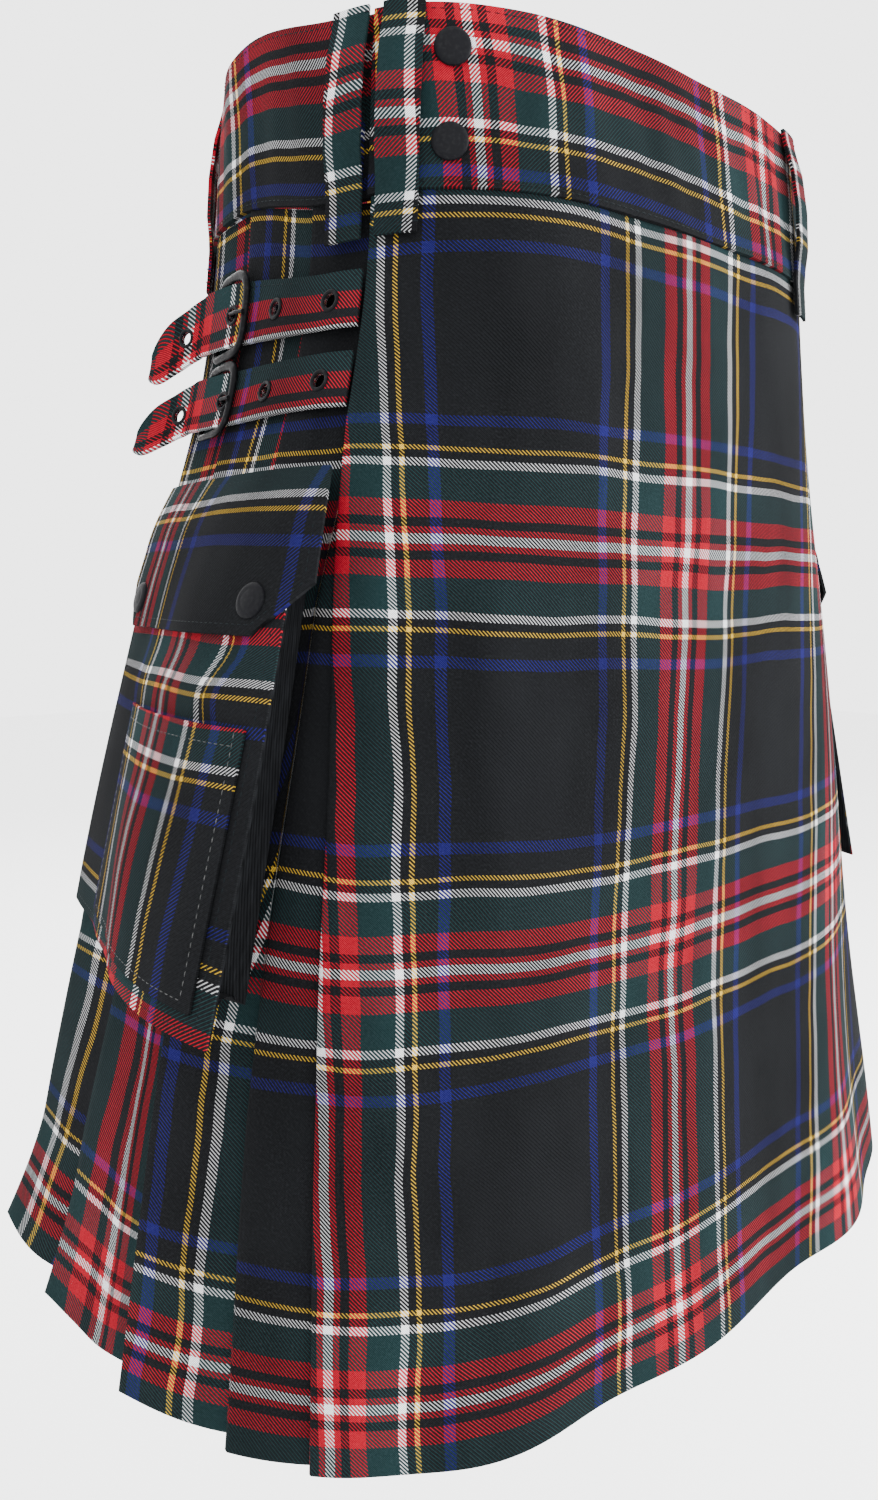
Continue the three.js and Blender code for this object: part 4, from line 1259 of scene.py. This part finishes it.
def bodyRows(side):
    above, aboveFlap = 0.65, 1.05

    def sewn(u, s):
        return rowOn(u, s, lambda v, w: pocketFace(v, w, side) + above, side, above)

    def sewnOnFlap(u, s):
        return rowOn(u, s, lambda v, w: flapFace(v, w, side) + aboveFlap, side, pocket["flapOut"] + aboveFlap)

    first, last = pocket["frontEdge"] + 0.003, pocket["backEdge"] - 0.003
    top, bottom = pocket["top"] + 30, pocket["bottom"] - 4
    across = np.linspace(first, last, 50)
    rows = [sewn(first, np.linspace(top, bottom, 40)), sewn(across, bottom - rise(across)),
            sewn(last, np.linspace(bottom - 24, top, 40))]
    us = np.linspace(pocket["flapFront"] + 0.003, pocket["flapBack"] - 0.003, 70)
    top, inset = pocket["flapTop"] + 4, 4.5
    rows += [sewnOnFlap(us, flapEnd(us) - inset), sewnOnFlap(us, top)]
    return rows + [sewnOnFlap(u, np.linspace(top, float(flapEnd(u)) - inset, 20)) for u in (us[0], us[-1])]


sides = ("right", "left")
patchStitches = {side: sewnRows(f"stitchesPatch{side.title()}", patchRows(side), paleThread, "tartan_pocket")
                 for side in sides}
bodyStitches = {side: sewnRows(f"stitchesPocket{side.title()}", bodyRows(side), darkThread, "tartan_pocket")
                for side in sides}


def bandOut(u, s):
    return 1.45 + bandWave(u, s)


def loopOut(u, s):
    return 3.75 + stations(s, beltLoops["standOff"])


bandRows = []
for first, last in ((0.1728, -0.171), (0.1795, 0.8255)):
    us = np.linspace(first, last, 160)
    bandRows += [rowOn(us, 2.5, bandOut), rowOn(us, 71.5, bandOut)]
bandStitches = sewnRows("stitchesBand", bandRows, darkThread, "tartan_band")
loopRows = []
for _, u, *_ in beltLoops["places"]:
    across = u + np.linspace(-9.5, 9.5, 8) / girthAt(0)
    loopRows += [rowOn(across, s, loopOut) for s in (2.0, 82.0, 88.0)]
loopStitches = sewnRows("stitchesLoops", loopRows, darkThread, "tartan_band")
strapRows = []
for which, middle in strap["middles"]:
    girth = float(girthAt(middle))
    start = strap["start"] + 0.4 / girth
    left = (strap["buckleAt"] - start) * girth + strap["buckleHalf"]
    run = np.linspace(1, left + 28, 60)
    for x in (-1, 1):
        s = middle + strapDroop(run, left) + x * (strap["width"] / 2 - 2.2)
        out = strapOut(run, girth) + 0.05
        strapRows.append((onForm(start + run / girth, s, out), onForm(start + run / girth, s, out + 2)))
strapStitches = sewnRows("stitchesStraps", strapRows, darkThread, "tartan_strap")
print("stitches ready")

# How each sheet was cut, in metres
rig.sheet(outerApron, flat=(0.62, 0.54), held="hung", rests_on=["bandApron"], area=0.285)
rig.sheet(underApron, flat=(0.60, 0.54), held="hung", rests_on=["bandUnder"], area=0.265)
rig.sheet(pleatsRight, flat=(1.35, 0.54), held="hung", rests_on=["bandBack"])
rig.sheet(pleatsLeft, flat=(1.35, 0.54), held="hung", rests_on=["bandBack"])
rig.sheet(bandApron, flat=(0.32, 0.074), held="stretched", rests_on=["bandUnder"], with_pieces=[bandStitches])
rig.sheet(bandBack, flat=(0.60, 0.074), held="stretched", rests_on=["bandUnder"])
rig.sheet(bandUnder, flat=(0.31, 0.074), held="stretched", rests_on=["bandBack"])
for side, (front, gusset, flap, patch) in pocketPieces.items():
    pleatsName = f"pleats{side.title()}"
    gussetWide = 0.028 if side == "right" else 0.019
    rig.sheet(front, flat=(0.15, 0.206), held="hung", rests_on=[gusset.name],
             with_pieces=[bodyStitches[side]])
    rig.sheet(gusset, flat=(0.56, gussetWide), held="hung", rests_on=[pleatsName])
    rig.sheet(flap, flat=(0.15, 0.08), held="hung", rests_on=[pleatsName], area=0.0117)
    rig.sheet(patch, flat=(0.12, 0.12), held="hung", rests_on=[front.name], with_pieces=[patchStitches[side]])
for which, (piece, eyelets, tab) in strapPieces.items():
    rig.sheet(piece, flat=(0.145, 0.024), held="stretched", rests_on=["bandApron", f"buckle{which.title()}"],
             with_pieces=eyelets)
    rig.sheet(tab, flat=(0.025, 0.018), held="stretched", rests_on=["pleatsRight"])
for loop in loopPieces:
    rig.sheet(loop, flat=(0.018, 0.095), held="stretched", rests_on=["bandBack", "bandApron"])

# Pale floor and soft light
studio = {"floorHeight": -1.05, "floorSize": 14}
clearSelection()
bpy.ops.mesh.primitive_plane_add(size=studio["floorSize"], location=(0, 0, studio["floorHeight"]))
floor = bpy.context.object
floor.name = "paleFloor"
floorPaint = bpy.data.materials.new("paleFloorPaint")
floorPaint.use_nodes = True
floorShader = shaderOf(floorPaint)
floorShader.inputs["Base Color"].default_value = (0.92, 0.92, 0.92, 1)
grainNoise = floorPaint.node_tree.nodes.new("ShaderNodeTexNoise")
grainNoise.inputs["Scale"].default_value = 3
grainRange = floorPaint.node_tree.nodes.new("ShaderNodeMapRange")
grainRange.inputs["To Min"].default_value = 0.85
grainRange.inputs["To Max"].default_value = 0.95
link(floorPaint.node_tree, grainNoise.outputs[0], grainRange.inputs["Value"])
link(floorPaint.node_tree, grainRange.outputs[0], floorShader.inputs["Roughness"])
floor.data.materials.append(floorPaint)
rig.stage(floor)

world = bpy.context.scene.world or bpy.data.worlds.new("studioWorld")
bpy.context.scene.world = world
world.use_nodes = True
worldLight = world.node_tree.nodes["Background"]
worldLight.inputs["Color"].default_value = (1, 1, 1, 1)
worldLight.inputs["Strength"].default_value = 3.6
lights = [
    ("keyLight", (-1.6, -2.2, 1.3), 1.6, 40, (1.0, 0.99, 0.97)),
    ("sideLight", (2.0, -1.7, 0.7), 1.4, 210, (0.97, 0.99, 1.0)),
    ("backLight", (0.8, 2.4, 1.2), 1.5, 60, (1, 1, 1)),
]
for name, place, size, power, colour in lights:
    lamp = bpy.data.lights.new(name, "AREA")
    lamp.size, lamp.energy, lamp.color = size, power, colour
    lampObject = bpy.data.objects.new(name, lamp)
    lampObject.location = place
    lampObject.rotation_euler = (Vector((0, 0, -0.25)) - Vector(place)).to_track_quat("-Z", "Y").to_euler()
    bpy.context.collection.objects.link(lampObject)

# Camera, as found from the photo
eye = {"place": (-0.4213, -0.4543, -0.2037), "yaw": 0.686, "pitch": -0.1461, "roll": 0.007,
       "focalPixels": 1044, "photoHeight": 1500, "sensor": 36}
cameraData = bpy.data.cameras.new("photoCamera")
cameraData.lens = eye["focalPixels"] / eye["photoHeight"] * eye["sensor"]
cameraData.sensor_width = eye["sensor"]
cameraData.clip_start, cameraData.clip_end = 0.01, 50
camera = bpy.data.objects.new("photoCamera", cameraData)
bpy.context.collection.objects.link(camera)
yaw, pitch, roll = eye["yaw"], eye["pitch"], eye["roll"]
ahead = Vector((math.sin(yaw) * math.cos(pitch), math.cos(yaw) * math.cos(pitch), math.sin(pitch)))
right = Vector((math.cos(yaw), -math.sin(yaw), 0))
up = right.cross(ahead)
camRight = right * math.cos(roll) + up * math.sin(roll)
camUp = up * math.cos(roll) - right * math.sin(roll)
turned = Matrix((camRight, camUp, -ahead)).transposed().to_4x4()
camera.matrix_world = Matrix.Translation(eye["place"]) @ turned
bpy.context.scene.camera = camera
print("stage ready")

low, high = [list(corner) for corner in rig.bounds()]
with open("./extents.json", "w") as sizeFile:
    json.dump({"cad": [cadLow, cadHigh], "scene": [low, high]}, sizeFile)
